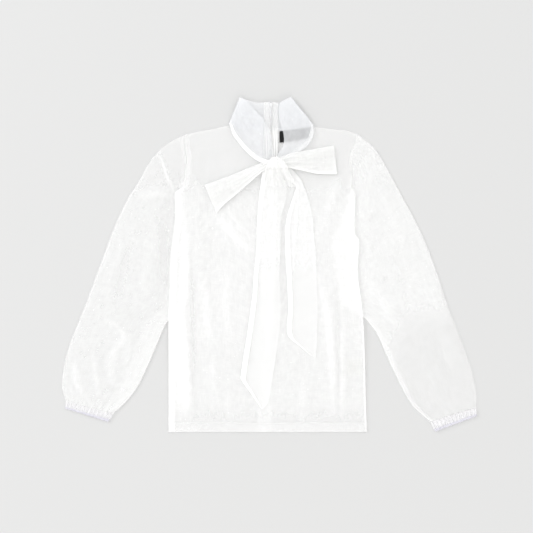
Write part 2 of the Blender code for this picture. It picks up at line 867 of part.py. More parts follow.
def combine(target, tool, operation):
    """Adds a Boolean modifier."""
    modifier = target.modifiers.new(operation.lower(), "BOOLEAN")
    modifier.operation = operation
    modifier.solver = "EXACT"
    modifier.object = tool
    tool.hide_render = True
    tool.display_type = "WIRE"


def build_slider(metal, collection, tools):
    """Slider at the top of the zip, with a lug for the pull that passes out between the collar halves."""
    middle = centre_x(SLIDER_Y)
    low_z = COLLAR_LIFT + FRONT_OVER_BACK
    half = SLIDER_LENGTH / 2.0
    body = box(
        "zip_slider",
        (middle - TAPE_IN + SEAM_GAP, SLIDER_Y - half, low_z),
        (middle + TAPE_IN - SEAM_GAP, SLIDER_Y + half, low_z + SLIDER_HEIGHT),
        metal,
        collection,
    )
    crown = box(
        "slider crown",
        (middle - SLIDER_WIDTH / 2.0, SLIDER_Y - half, low_z + TAPE_WALL + SEAM_GAP),
        (middle + SLIDER_WIDTH / 2.0, SLIDER_Y + half - 0.4, low_z + SLIDER_HEIGHT + 0.2),
        metal,
        tools,
    )
    post = box(
        "slider post",
        (middle - LUG_WIDTH / 2.0, SLIDER_Y - 1.4, LUG_Z + 1.0),
        (middle + LUG_WIDTH / 2.0, SLIDER_Y + 1.4, low_z + 1.0),
        metal,
        tools,
    )
    lug = rod("slider lug", (middle, SLIDER_Y, LUG_Z), LUG_RADIUS, LUG_WIDTH, 20, metal, tools)
    hole = rod("slider lug hole", (middle, SLIDER_Y, LUG_Z), LUG_HOLE, LUG_WIDTH * 2.0, 16, metal, tools)
    combine(body, crown, "UNION")
    combine(body, post, "UNION")
    combine(body, lug, "UNION")
    combine(body, hole, "DIFFERENCE")
    return body


def build_pull(metal, collection, tools):
    """Pull tab under the collar. It turns about its own bar, which passes through the lug."""
    middle = centre_x(SLIDER_Y)
    half_wall = PULL_WALL / 2.0
    pull = box(
        "zip_pull",
        (middle - PULL_WIDTH / 2.0, SLIDER_Y + half_wall - PULL_LENGTH, LUG_Z - half_wall),
        (middle + PULL_WIDTH / 2.0, SLIDER_Y + half_wall, LUG_Z + half_wall),
        metal,
        collection,
        (middle, SLIDER_Y, LUG_Z),
    )
    window = box(
        "pull window",
        (middle - PULL_WINDOW_WIDTH / 2.0, SLIDER_Y - half_wall - PULL_WINDOW_LENGTH, LUG_Z - 2.0),
        (middle + PULL_WINDOW_WIDTH / 2.0, SLIDER_Y - half_wall, LUG_Z + 2.0),
        metal,
        tools,
    )
    combine(pull, window, "DIFFERENCE")
    return pull


def build_labels(collection):
    """Two plain labels on the inner side of the back."""
    for name, corners, material in (("neck_label", NECK_LABEL, BLACK_LABEL), ("care_label", CARE_LABEL, WHITE_LABEL)):
        rows = []
        for number in range(5):
            left = [mix(corners[0][axis], corners[3][axis], number / 4.0) for axis in range(2)]
            right = [mix(corners[1][axis], corners[2][axis], number / 4.0) for axis in range(2)]
            row = []
            for step in range(7):
                x, y = (mix(left[axis], right[axis], step / 6.0) for axis in range(2))
                row.append((x, y, back_z(x, y) + FRONT_OVER_BACK))
            rows.append(row)
        sheet(name, rows, LABEL_WALL, 1.0, material, collection)


def main():
    """Builds the blouse."""
    for thing in list(bpy.data.objects):
        bpy.data.objects.remove(thing, do_unlink=True)
    collection = bpy.data.collections.new("tie_neck_blouse")
    tools = bpy.data.collections.new("cutters")
    bpy.context.scene.collection.children.link(collection)
    bpy.context.scene.collection.children.link(tools)
    build_body(collection)
    build_sleeve("sleeve_left", SLEEVE_LEFT, LEFT_SIDE, -1.0, ORGANZA, collection)
    build_sleeve("sleeve_right", SLEEVE_RIGHT, RIGHT_SIDE, 1.0, ORGANZA, collection)
    build_cuff("cuff_left", CUFF_LEFT, ELASTIC, collection)
    build_cuff("cuff_right", CUFF_RIGHT, ELASTIC, collection)
    build_collar("collar_left", COLLAR_LEFT_TOP, COLLAR_LEFT_FRONT, -1.0, ORGANZA, collection)
    build_collar("collar_right", COLLAR_RIGHT_TOP, COLLAR_RIGHT_FRONT, 1.0, ORGANZA, collection)
    build_loop("bow_loop_left", LOOP_LEFT, ORGANZA, collection)
    build_loop("bow_loop_right", LOOP_RIGHT, ORGANZA, collection)
    build_knot(ORGANZA, collection)
    build_tail("tie_tail_left", TAIL_LEFT, ORGANZA, collection)
    build_tail("tie_tail_right", TAIL_RIGHT, ORGANZA, collection)
    build_zip(collection, tools)
    build_labels(collection)


main()
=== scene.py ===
# %% [markdown]
# # A sheer tie neck blouse, laid flat
#
# This lesson dresses the plain solids of a blouse with thin cloth. The blouse lies on its back on a
# table: two back halves with a zip between them, a front, two full sleeves tucked under the sides of the
# body, and a tie collar knotted in a bow. The solids give every layer its place, so the lesson starts by
# loading them and keeps all pieces in the same frame: +X to the right, +Y to the collar, +Z up.

# %% Load the frame
import math

import bmesh
import bpy
import numpy as np
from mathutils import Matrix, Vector


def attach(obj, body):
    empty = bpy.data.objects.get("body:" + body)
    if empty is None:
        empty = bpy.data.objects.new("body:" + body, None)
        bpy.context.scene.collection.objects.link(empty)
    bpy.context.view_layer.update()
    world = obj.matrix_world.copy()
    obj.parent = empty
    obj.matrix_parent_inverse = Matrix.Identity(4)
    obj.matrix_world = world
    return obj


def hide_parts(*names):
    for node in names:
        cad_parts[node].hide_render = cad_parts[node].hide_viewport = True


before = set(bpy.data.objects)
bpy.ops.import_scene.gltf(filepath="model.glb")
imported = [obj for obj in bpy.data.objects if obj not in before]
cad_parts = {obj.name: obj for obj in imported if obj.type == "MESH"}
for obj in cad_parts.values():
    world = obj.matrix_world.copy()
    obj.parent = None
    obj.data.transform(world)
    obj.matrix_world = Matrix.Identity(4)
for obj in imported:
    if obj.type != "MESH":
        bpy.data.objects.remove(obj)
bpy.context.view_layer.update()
scene = bpy.context.scene
MM = 0.001

# %% [markdown]
# ## The camera
#
# The picture was taken from straight above, so the camera looks down the Z axis. A long lens keeps the
# perspective weak. Its distance follows from the width of table that the picture shows, by similar
# triangles: distance = width x lens / sensor.

# %% Camera over the table
PICTURE_WIDTH = 1.130
PICTURE_MIDDLE = (-0.00666, -0.0045)
CLOTH_LEVEL = 0.004
LENS = 100.0
SENSOR = 36.0

camera_data = bpy.data.cameras.new("table_camera")
camera_data.lens = LENS
camera_data.sensor_width = SENSOR
camera = bpy.data.objects.new("table_camera", camera_data)
scene.collection.objects.link(camera)
camera.location = (*PICTURE_MIDDLE, PICTURE_WIDTH * LENS / SENSOR + CLOTH_LEVEL)
scene.camera = camera
print("camera height", round(camera.location.z, 3), "m")

# %% [markdown]
# ## Table and light
#
# Sheer cloth is judged by what shows through it. The table is a pale grey, a little darker than the
# cloth, so that one layer looks grey and four layers look white. The light is a soft dome with one large
# softbox at a low angle: the dome fills, and the softbox lets the creases cast a faint shade.

# %% A plain pale floor
TABLE_GREY = 0.66
TABLE_GAP = 0.0004


def deselect():
    """Clears the selection, so that an operator acts only on what is picked next."""
    for thing in bpy.context.selected_objects:
        thing.select_set(False)


def new_material(name):
    """A new material and its Principled shader."""
    material = bpy.data.materials.new(name)
    material.use_nodes = True
    return material, material.node_tree.nodes["Principled BSDF"]


deselect()
bpy.ops.mesh.primitive_plane_add(size=8.0, location=(0.0, 0.0, -TABLE_GAP))
table = bpy.context.object
table.name = "table_top"
table_material, table_shader = new_material("pale table")
table_shader.inputs["Base Color"].default_value = (TABLE_GREY, TABLE_GREY, TABLE_GREY * 0.995, 1.0)
table_shader.inputs["Roughness"].default_value = 0.9
table_shader.inputs["Specular IOR Level"].default_value = 0.1
table.data.materials.append(table_material)
print("the table top is", TABLE_GAP / MM, "mm under the cloth")

# %% Dome, softboxes and tone
DOME_STRENGTH = 1.09
world = bpy.data.worlds.new("studio dome")
scene.world = world
world.use_nodes = True
dome = world.node_tree.nodes["Background"]
dome.inputs["Color"].default_value = (1.0, 1.0, 1.0, 1.0)
dome.inputs["Strength"].default_value = DOME_STRENGTH


def softbox(name, place, target, size, power, colour):
    """Hangs a square area light at a place and turns it to a target."""
    data = bpy.data.lights.new(name, "AREA")
    data.size = size
    data.energy = power
    data.color = colour
    light = bpy.data.objects.new(name, data)
    scene.collection.objects.link(light)
    light.location = place
    aim = Vector(target) - Vector(place)
    light.rotation_euler = aim.to_track_quat("-Z", "Y").to_euler()
    return light


softbox("window_left", (-5.2, 3.0, 2.6), (0.0, 0.0, 0.0), 2.0, 118.0, (0.97, 0.985, 1.0))
softbox("bounce_low", (1.2, -5.2, 3.0), (0.0, -0.1, 0.0), 2.6, 32.0, (1.0, 0.97, 0.91))
scene.view_settings.view_transform = "Standard"
scene.cycles.transparent_max_bounces = 48
scene.cycles.max_bounces = 16
scene.cycles.diffuse_bounces = 14
print("the dome has a strength of", DOME_STRENGTH)

# %% [markdown]
# ## Curves from a few measured points
#
# A maker draws a pattern piece with a few marks and a curved ruler. The tables below are such marks, in
# millimetres, and this helper is the curved ruler: a Catmull-Rom spline passes through every mark.

# %% Curved ruler
def ease(share):
    """Rises smoothly from 0 to 1."""
    share = np.clip(share, 0.0, 1.0)
    return share * share * (3.0 - 2.0 * share)


def mix(first, second, share):
    """Goes from the first value to the second."""
    return first + (second - first) * share


def fade(value, start, end):
    """Rises smoothly from 0 at the start to 1 at the end."""
    return ease((value - start) / (end - start))


def spline(marks, shares):
    """Reads a smooth curve through the marks at shares from 0 to 1 of their count."""
    marks = np.asarray(marks, dtype=float)
    padded = np.vstack([2 * marks[0] - marks[1], marks, 2 * marks[-1] - marks[-2]])
    place = np.clip(np.asarray(shares, dtype=float), 0.0, 1.0) * (len(marks) - 1)
    number = np.minimum(place.astype(int), len(marks) - 2)
    part = (place - number)[..., None]
    p0, p1, p2, p3 = (padded[number + step] for step in range(4))
    return 0.5 * (
        2 * p1
        + (p2 - p0) * part
        + (2 * p0 - 5 * p1 + 4 * p2 - p3) * part**2
        + (3 * p1 - p0 - 3 * p2 + p3) * part**3
    )


def reader(*parts):
    """Joins splines of rows into one function that reads the second column at a value of the first."""
    dense = np.vstack([spline(part, np.linspace(0.0, 1.0, 160)) for part in parts])
    dense = dense[np.argsort(dense[:, 0], kind="stable")]
    return lambda value, column=1: np.interp(value, dense[:, 0], dense[:, column])


# %% [markdown]
# ## Outlines of the body
#
# The body is a box shape: a straight hem, sides that pull in a little at the waist, armholes that curve
# in, and a round neck. Sides and armholes are read by level, and the top edge by the place on the hem
# below it, so that the lengthwise threads run from the hem to the shoulder.

# %% Marks of the body
# Columns: level, x.
LEFT_EDGE = (
    (-355.4, -214.4),
    (-223.9, -214.4),
    (-94.6, -214.2),
    (-45.8, -211.2),
    (17.8, -209.1),
    (72.9, -202.1),
    (102.6, -199.2),
    (153.4, -200.6),
)
LEFT_ARMHOLE = (
    (164.0, -182.8),
    (183.1, -180.1),
    (202.2, -176.9),
    (221.3, -175.6),
    (240.4, -178.2),
    (257.3, -180.5),
    (274.5, -180.5),
)
RIGHT_EDGE = (
    (-355.4, 206.4),
    (-296.0, 204.3),
    (-236.6, 202.8),
    (-177.3, 201.3),
    (-117.9, 198.3),
    (-73.4, 193.7),
    (-16.2, 186.5),
    (48.5, 189.4),
    (66.5, 180.5),
    (123.8, 180.5),
    (153.4, 181.0),
)
RIGHT_ARMHOLE = (
    (164.0, 171.8),
    (183.1, 173.8),
    (202.2, 171.0),
    (221.3, 169.3),
    (240.4, 173.1),
    (257.3, 181.8),
    (274.5, 188.2),
)
left_edge = reader(LEFT_EDGE, LEFT_ARMHOLE)
right_edge = reader(RIGHT_EDGE, RIGHT_ARMHOLE)

# Columns: hem_x, top_x, top_y.
LEFT_SHOULDER = (
    (-214.4, -180.5, 274.5),
    (-194.3, -164.6, 278.5),
    (-168.8, -143.4, 282.8),
    (-141.3, -120.1, 287.4),
    (-107.4, -88.3, 293.8),
)
FRONT_NECK = (
    (-107.4, -88.3, 293.8),
    (-94.6, -81.9, 285.9),
    (-81.9, -70.3, 274.3),
    (-66.0, -52.2, 254.1),
    (-47.8, -34.0, 237.2),
    (-27.9, -14.1, 226.6),
    (-10.9, 2.9, 222.8),
    (6.1, 19.8, 226.6),
    (26.0, 39.8, 237.6),
    (44.2, 58.0, 249.3),
    (60.1, 73.9, 261.6),
    (75.0, 86.6, 275.3),
    (89.8, 95.1, 291.2),
)
BACK_NECK = (
    (-107.4, -88.3, 293.8),
    (-81.9, -70.3, 289.1),
    (-47.8, -34.0, 284.5),
    (-10.9, 2.9, 283.4),
    (26.0, 39.8, 284.7),
    (60.1, 73.9, 287.8),
    (89.8, 95.1, 291.2),
)
RIGHT_SHOULDER = (
    (89.8, 95.1, 291.2),
    (117.4, 118.4, 288.7),
    (141.7, 139.6, 286.1),
    (166.1, 160.8, 284.2),
    (192.6, 179.9, 278.5),
    (206.4, 188.2, 274.5),
)
HEM_Y = -355.4
TOP_Y = 274.5
HEM_LEFT = LEFT_EDGE[0][1]
HEM_RIGHT = RIGHT_EDGE[0][1]
HEM_MIDDLE = -10.9
front_top = reader(LEFT_SHOULDER, FRONT_NECK, RIGHT_SHOULDER)
back_top = reader(LEFT_SHOULDER, BACK_NECK, RIGHT_SHOULDER)
back_neck_marks = np.array([row[1:] for row in BACK_NECK])


def body_place(hem_x, share, top):
    """Plan of the body: a thread that leaves the hem at hem_x, at a share of its way to the top edge."""
    level = mix(HEM_Y, TOP_Y, share)
    across = (hem_x - HEM_LEFT) / (HEM_RIGHT - HEM_LEFT)
    x = mix(hem_x, top(hem_x, 1), share)
    left_off = left_edge(level) - mix(HEM_LEFT, left_edge(TOP_Y), share)
    right_off = right_edge(level) - mix(HEM_RIGHT, right_edge(TOP_Y), share)
    x = x + left_off * np.maximum(1.0 - across / 0.4, 0.0)
    x = x + right_off * np.maximum(1.0 - (1.0 - across) / 0.4, 0.0)
    return x, mix(HEM_Y, top(hem_x, 2), share)


print("hem width", round(HEM_RIGHT - HEM_LEFT), "mm, length", round(TOP_Y - HEM_Y), "mm to the shoulder tip")

# %% [markdown]
# ## Outlines of the sleeves
#
# A full sleeve is widest above the wrist. Each row of the table is a straight line across the flat
# sleeve, from its outer fold to its inner seam, and the splines through both ends give the outline.

# %% Marks of the sleeves
# Columns: outer_x, outer_y, inner_x, inner_y.
SLEEVE_LEFT = (
    (-180.5, 274.5, -182.8, 164.0),
    (-217.2, 255.2, -180.3, 145.0),
    (-249.8, 223.8, -178.4, 123.8),
    (-279.5, 173.4, -176.7, 98.3),
    (-303.2, 134.8, -173.9, 68.6),
    (-330.2, 76.7, -171.0, 19.9),
    (-356.9, 5.0, -172.4, -45.8),
    (-378.7, -54.3, -178.4, -90.4),
    (-389.5, -82.5, -196.4, -108.4),
    (-404.2, -120.0, -219.3, -125.3),
    (-419.0, -156.1, -237.7, -166.7),
    (-431.7, -196.4, -256.8, -211.2),
    (-439.1, -236.6, -278.0, -255.7),
    (-439.6, -264.2, -302.4, -288.6),
    (-431.7, -289.6, -331.7, -316.4),
)
CUFF_LEFT = (
    (-431.9, -290.3, -332.1, -317.0),
    (-433.4, -298.1, -335.3, -324.6),
    (-433.8, -305.1, -342.7, -333.7),
)
SLEEVE_RIGHT = (
    (188.2, 274.5, 171.8, 164.0),
    (213.2, 255.2, 167.2, 138.6),
    (228.2, 238.9, 159.8, 115.3),
    (246.0, 209.0, 149.2, 89.8),
    (266.8, 170.4, 137.5, 63.3),
    (287.6, 131.6, 133.0, 32.6),
    (305.4, 99.0, 138.6, 3.8),
    (329.4, 48.5, 143.4, -35.2),
    (353.1, -14.0, 148.1, -75.5),
    (367.5, -58.6, 166.1, -94.6),
    (379.2, -92.5, 195.8, -109.4),
    (397.6, -139.1, 228.2, -148.0),
    (418.4, -195.5, 250.9, -199.5),
    (430.1, -232.4, 275.7, -252.1),
    (438.1, -272.7, 302.4, -299.6),
    (438.1, -303.4, 340.6, -333.7),
)
CUFF_RIGHT = (
    (438.1, -304.1, 341.0, -334.4),
    (438.8, -313.0, 346.1, -344.8),
    (439.6, -321.4, 351.4, -354.1),
)


def sleeve_outline(lines):
    """Closed outline of a flat sleeve."""
    dense = spline(lines, np.linspace(0.0, 1.0, 60))
    return np.vstack([dense[:, :2], dense[::-1, 2:]])


SLEEVE_OUTLINES = [sleeve_outline(SLEEVE_LEFT), sleeve_outline(SLEEVE_RIGHT)]
print("sleeve outlines have", [len(outline) for outline in SLEEVE_OUTLINES], "points")

# %% [markdown]
# ## The height of each layer
#
# The layers of a flat garment lie on each other, so every height starts from what is below. The back
# lies on the table, rides up over the tucked sleeves, and rises at the collar, where the zip pull lies
# under it. The front lies on the back, with room for the zip and the labels. These are the same heights
# as in the solids, read at any number of points at once.

# %% Heights from the layers below
LAYER = 1.3
BODY_OVER_SLEEVE = 2.7
SLEEVE_RAMP = (50.0, 24.0)
SHOULDER_RAMP = (270.0, 183.1)
COLLAR_LIFT = 4.5
COLLAR_RAMP = 29.0
ZIP_PAD = 2.1
ZIP_PAD_REACH = 37.0
ZIP_PAD_BELOW = 28.0
ZIP_PAD_RAMP = 20.0
FAR = 1e9
NOT_ZERO = 1e-9
CENTRE_HEM = (-10.9, -355.4)
CENTRE_NECK = (2.9, 283.4)
CENTRE_TOP_Y = 343.2
ZIP_END_Y = -74.5


def centre_x(y):
    """The centre back line at a level."""
    share = (y - CENTRE_HEM[1]) / (CENTRE_NECK[1] - CENTRE_HEM[1])
    return mix(CENTRE_HEM[0], CENTRE_NECK[0], np.minimum(share, 1.0))


def beside(start, end, x, y):
    """For points x, y: the nearest share of a straight stretch, and their distance to it."""
    (ax, ay), (bx, by) = start, end
    length = (bx - ax) ** 2 + (by - ay) ** 2 + NOT_ZERO
    share = np.clip(((x - ax) * (bx - ax) + (y - ay) * (by - ay)) / length, 0.0, 1.0)
    return share, np.hypot(x - mix(ax, bx, share), y - mix(ay, by, share))


def distance_to(outline, x, y):
    """Distance of points to a closed outline, 0 inside it."""
    nearest = np.full(np.shape(x), FAR)
    inside = np.zeros(np.shape(x), dtype=bool)
    for start, end in zip(outline, np.roll(outline, -1, axis=0)):
        nearest = np.minimum(nearest, beside(start, end, x, y)[1])
        (ax, ay), (bx, by) = start, end
        crosses = (ay > y) != (by > y)
        inside ^= crosses & (x < ax + (y - ay) * (bx - ax) / (by - ay + NOT_ZERO))
    return np.where(inside, 0.0, nearest)


def back_z(x, y):
    """Underside of the back, and of the back of the collar above it."""
    near = np.minimum(*(distance_to(outline, x, y) for outline in SLEEVE_OUTLINES))
    over = BODY_OVER_SLEEVE * fade(near, *SLEEVE_RAMP)
    neck = np.interp(x, back_neck_marks[:, 0], back_neck_marks[:, 1])
    return over * fade(y, *SHOULDER_RAMP) + COLLAR_LIFT * ease((y - neck) / COLLAR_RAMP)


# Columns: low_x, high_x, low_y, high_y, ramp, height.
LABEL_PADS = (
    (13.5, 98.3, 251.0, 310.3, 22.0, 0.8),
    (144.9, 204.3, -247.2, -187.9, 22.0, 0.9),
)


def front_z(x, y):
    """Underside of the front over the back, the zip and the labels."""
    across = np.clip((ZIP_PAD_REACH - np.abs(x - centre_x(y))) / ZIP_PAD_RAMP, 0.0, 1.0)
    below = np.clip((y - ZIP_END_Y + ZIP_PAD_BELOW) / ZIP_PAD_RAMP, 0.0, 1.0)
    pad = ZIP_PAD * across * below
    for low_x, high_x, low_y, high_y, ramp, height in LABEL_PADS:
        away_x = np.maximum(np.maximum(low_x - x, x - high_x), 0.0)
        away_y = np.maximum(np.maximum(low_y - y, y - high_y), 0.0)
        pad = np.maximum(pad, height * np.maximum(1.0 - np.maximum(away_x, away_y) / ramp, 0.0))
    return back_z(x, y) + LAYER + pad


def upper_z(x, y):
    """Underside of what lies on the front."""
    return front_z(x, y) + LAYER


print("over the zip the front lies at", round(float(front_z(0.0, 100.0)), 1), "mm")

# %% [markdown]
# ## Creases
#
# Crisp sheer cloth holds the creases it was folded and handled with. Each is a soft ridge or trough
# along a short path, deepest in the middle and fading at its ends. They are placed where the blouse
# shows them, with uneven lengths and depths. Between them the cloth is never quite level, and a few
# long waves of different directions stand for that.

# %% Ridges, troughs and slow waves
def running_sum(steps):
    """Lengths from the start to each mark, from the steps between the marks."""
    return np.concatenate([[0.0], np.cumsum(steps)])


def crease(x, y, path, width):
    """Profile of one crease along a path at points x, y: 1 on the middle of its line, 0 far away."""
    path = spline(np.array(path), np.linspace(0.0, 1.0, 4 * len(path)))
    reach = running_sum(np.hypot(*np.diff(path, axis=0).T))
    nearest = np.full(np.shape(x), FAR)
    where = np.zeros(np.shape(x))
    for number in range(len(path) - 1):
        share, away = beside(path[number], path[number + 1], x, y)
        closer = away < nearest
        nearest = np.where(closer, away, nearest)
        where = np.where(closer, mix(reach[number], reach[number + 1], share) / reach[-1], where)
    along = np.sin(np.pi * np.clip(where, 0.0, 1.0)) ** 1.1
    return along * np.exp(-((nearest / width) ** 2))


# A negative density thins the cloth along a trough, so that it shows greyer: painted shade, on top of the
# trough's own shape.
def creases(x, y, table):
    """Heights and extra density of a table of creases. Columns: width, height, density, path."""
    height = np.zeros(np.shape(x))
    density = np.ones(np.shape(x))
    for width, rise, dense, path in table:
        profile = crease(x, y, path, width)
        height += rise * profile
        density += dense * profile
    return height, density


# Columns: wave length, direction in degrees, phase.
SLOW_WAVES = (
    (83.0, 12.0, 0.3),
    (57.0, 75.0, 1.9),
    (41.0, 140.0, 4.1),
    (29.0, 33.0, 2.6),
    (21.0, 104.0, 5.2),
)


def slow_waves(x, y, height):
    """Uneven lie of the cloth, between 0 and the height."""
    total = np.zeros(np.shape(x))
    for length, degrees, phase in SLOW_WAVES:
        turn = math.radians(degrees)
        bend = 0.6 * np.sin((x * math.sin(turn) - y * math.cos(turn)) / (length * 0.45) + phase)
        total += np.sin((x * math.cos(turn) + y * math.sin(turn)) * 2.0 * np.pi / length + phase + bend)
    return height * (0.5 + total / (2.0 * len(SLOW_WAVES)))


print(len(SLOW_WAVES), "slow waves, the longest", SLOW_WAVES[0][0], "mm")

# %% [markdown]
# ## A sheet of cloth from rows of points
#
# Cloth is a thin shell. The helper joins rows of points to a grid, lays a UV map on it in metres along
# the threads, so that the weave keeps its size on every piece, and gives it a wall with Solidify. A ring
# closes each row on itself, as a sleeve does.

# %% Sheet maker
CLOTH_WALL = 0.28
SOFT_ANGLE = 62.0


def settle(thing):
    """Makes an object the only selected and active one."""
    deselect()
    thing.select_set(True)
    bpy.context.view_layer.objects.active = thing


def raised(rows, lift):
    """A copy of points, lifted."""
    rows = np.array(rows, dtype=float)
    rows[..., 2] += lift
    return rows


# Steps of row and column to the corners of a face.
CORNERS = ((0, 0), (0, 1), (1, 1), (1, 0))


def bare_mesh(name, rows, ring=False):
    """A grid of faces over rows of points in millimetres, with its UV map in metres."""
    points = np.array(rows, dtype=float)
    count, wide = points.shape[:2]
    closed = np.concatenate([points, points[:, :1]], axis=1) if ring else points
    u = running_sum(np.linalg.norm(np.diff(closed, axis=1), axis=2).mean(axis=0)) * MM
    v = running_sum(np.linalg.norm(np.diff(points, axis=0), axis=2).mean(axis=1)) * MM
    row, column = np.meshgrid(np.arange(count - 1), np.arange(closed.shape[1] - 1), indexing="ij")
    faces = np.stack([(row + up) * wide + (column + on) % wide for up, on in CORNERS], axis=-1)
    uv = np.stack([np.stack([u[column + on], v[row + up]], axis=-1) for up, on in CORNERS], axis=2)
    mesh = bpy.data.meshes.new(name)
    mesh.from_pydata((points.reshape(-1, 3) * MM).tolist(), [], faces.reshape(-1, 4).tolist())
    mesh.uv_layers.new(name="threads").data.foreach_set("uv", uv.reshape(-1))
    return mesh


def put_finish(thing, material, density=None):
    """Gives a piece one material and smooth shading, and writes how dense the cloth lies at each point."""
    mesh = thing.data
    if density is None:
        density = np.ones(len(mesh.vertices))
    lay = mesh.attributes.new("lay", "FLOAT", "POINT")
    lay.data.foreach_set("value", np.ravel(density).astype(np.float32))
    mesh.materials.append(material)
    mesh.shade_smooth()
    return thing


def give_wall(thing, wall, offset=0.0):
    """Applies a Solidify of a wall in millimetres."""
    settle(thing)
    shell = thing.modifiers.new("wall", "SOLIDIFY")
    shell.thickness = wall * MM
    shell.offset = offset
    bpy.ops.object.modifier_apply(modifier=shell.name)
    bpy.ops.object.shade_smooth_by_angle(angle=math.radians(SOFT_ANGLE))
    return thing


def sheet(name, rows, material, ring=False, wall=CLOTH_WALL, density=None):
    """One sheet of cloth with its wall."""
    thing = bpy.data.objects.new(name, bare_mesh(name, rows, ring))
    scene.collection.objects.link(thing)
    return give_wall(put_finish(thing, material, density), wall)


def faces(*pieces):
    """Counts of the faces of pieces, to print."""
    return [len(piece.data.polygons) for piece in pieces]


def join(name, things):
    """Joins pieces into the first one and names it."""
    settle(things[0])
    for thing in things[1:]:
        thing.select_set(True)
    bpy.ops.object.join()
    things[0].name = name
    return things[0]


print("a wall of cloth is", CLOTH_WALL, "mm, and smooth up to", SOFT_ANGLE, "degrees")

# %% [markdown]
# ## Organza
#
# Organza is a plain weave of fine, stiff threads with gaps between them, so part of the view passes
# straight through. Alpha does that job here: it is the share of each wall that is thread. It follows
# uneven threads, a cloudy density and a few white slubs, and the same patterns drive a fine bump, which
# makes the crinkled look. The pattern reads the UV map, which runs along the threads.

# %% Organza shader
def new_cloth(name, colour, alpha, roughness=0.75, bump=0.03, mottle=0.08):
    """Sheer or close cloth with threads, clouds, slubs and a crinkle."""
    material, shader = new_material(name)
    nodes = material.node_tree.nodes
    link = material.node_tree.links.new
    shader.inputs["Base Color"].default_value = (*colour, 1.0)
    shader.inputs["Roughness"].default_value = roughness
    shader.inputs["Specular IOR Level"].default_value = 0.15
    shader.inputs["Sheen Weight"].default_value = 0.1
    shader.inputs["Sheen Roughness"].default_value = 0.4
    place = nodes.new("ShaderNodeTexCoord")
    lay = nodes.new("ShaderNodeAttribute")
    lay.attribute_name = "lay"

    def noise(scale, detail, stretch):
        mapping = nodes.new("ShaderNodeMapping")
        mapping.inputs["Scale"].default_value = stretch
        texture = nodes.new("ShaderNodeTexNoise")
        texture.inputs["Scale"].default_value = scale
        texture.inputs["Detail"].default_value = detail
        link(place.outputs["UV"], mapping.inputs["Vector"])
        link(mapping.outputs["Vector"], texture.inputs["Vector"])
        return texture.outputs["Fac"]

    def reshape(value, low, high, to_low, to_high):
        node = nodes.new("ShaderNodeMapRange")
        node.inputs["From Min"].default_value = low
        node.inputs["From Max"].default_value = high
        node.inputs["To Min"].default_value = to_low
        node.inputs["To Max"].default_value = to_high
        link(value, node.inputs["Value"])
        return node.outputs["Result"]

    def maths(operation, first, second):
        node = nodes.new("ShaderNodeMath")
        node.operation = operation
        for socket, value in zip(node.inputs, (first, second)):
            if isinstance(value, float):
                socket.default_value = value
            else:
                link(value, socket)
        return node.outputs["Value"]

    warp = noise(900.0, 1.0, (1.0, 0.04, 1.0))
    weft = noise(900.0, 1.0, (0.04, 1.0, 1.0))
    clouds = noise(95.0, 7.0, (1.0, 0.65, 1.0))
    crinkle = noise(190.0, 3.0, (1.0, 0.5, 1.0))
    slubs = noise(480.0, 1.0, (1.0, 0.5, 1.0))
    threads = reshape(maths("MAXIMUM", warp, weft), 0.42, 0.78, 0.92, 1.08)
    cloudy = reshape(clouds, 0.3, 0.7, 1.0 - mottle, 1.0 + mottle)
    slub = reshape(slubs, 0.74, 0.8, 0.0, 0.5)
    density = maths("MULTIPLY", threads, cloudy)
    density = maths("MULTIPLY", density, maths("MULTIPLY", lay.outputs["Fac"], alpha))
    density = maths("ADD", density, slub)
    link(maths("MINIMUM", density, 1.0), shader.inputs["Alpha"])
    height = maths("ADD", maths("MULTIPLY", crinkle, 0.7), maths("MULTIPLY", clouds, 1.0))
    height = maths("ADD", height, maths("MULTIPLY", threads, 0.1))
    surface = nodes.new("ShaderNodeBump")
    surface.inputs["Strength"].default_value = bump
    surface.inputs["Distance"].default_value = 0.001
    link(height, surface.inputs["Height"])
    link(surface.outputs["Normal"], shader.inputs["Normal"])
    return material


ORGANZA_WHITE = (0.995, 0.995, 0.993)
organza = new_cloth("white organza", ORGANZA_WHITE, 0.24)
organza_tie = new_cloth("white organza of the tie", ORGANZA_WHITE, 0.165, bump=0.04, mottle=0.12)
organza_turned = new_cloth("turned organza edge", ORGANZA_WHITE, 0.36)
print("cloths so far:", [cloth.name for cloth in (organza, organza_tie, organza_turned)])

# %% [markdown]
# ## Back halves
#
# The back is cut in two halves that meet at the centre, where the zip goes in. Each half is a grid of
# threads between the side and the centre line. The seam allowances at the side and at the centre are
# turned inside and show through as whiter strips, so they are real strips on the sheet.

# %% Two back halves with their seam allowances
BODY_ROWS = 132
HEM_ROWS = 5
STRIP_LIFT = 0.32
shares_up = np.linspace(0.0, 1.0, BODY_ROWS)
hem_lines = {}


def body_rows(hem_places, top, height):
    """Rows of points of a body panel from hem to top."""
    hem_x, share = np.meshgrid(hem_places, shares_up)
    x, y = body_place(hem_x, share, top)
    return np.stack([x, y, height(x, y)], axis=-1)


def body_shade_density(y, fuller):
    """Thins the cloth over the shoulders, so it shows greyer there as painted shade, and above the hem, and
    makes one panel fuller between them.
    """
    chest = fade(y, 104.7, 210.7)
    low = fade(y, -128.5, -213.3)
    near_hem = fade(y, -283.3, -336.3)
    return (1.18 - 0.5 * chest - 0.12 * low - 0.34 * near_hem) * (1.0 + fuller * (1.0 - chest))


def back_height(x, y):
    """The back lies smooth on the table."""
    return back_z(x, y) + 0.25 + slow_waves(x + 400.0, y, 0.25)


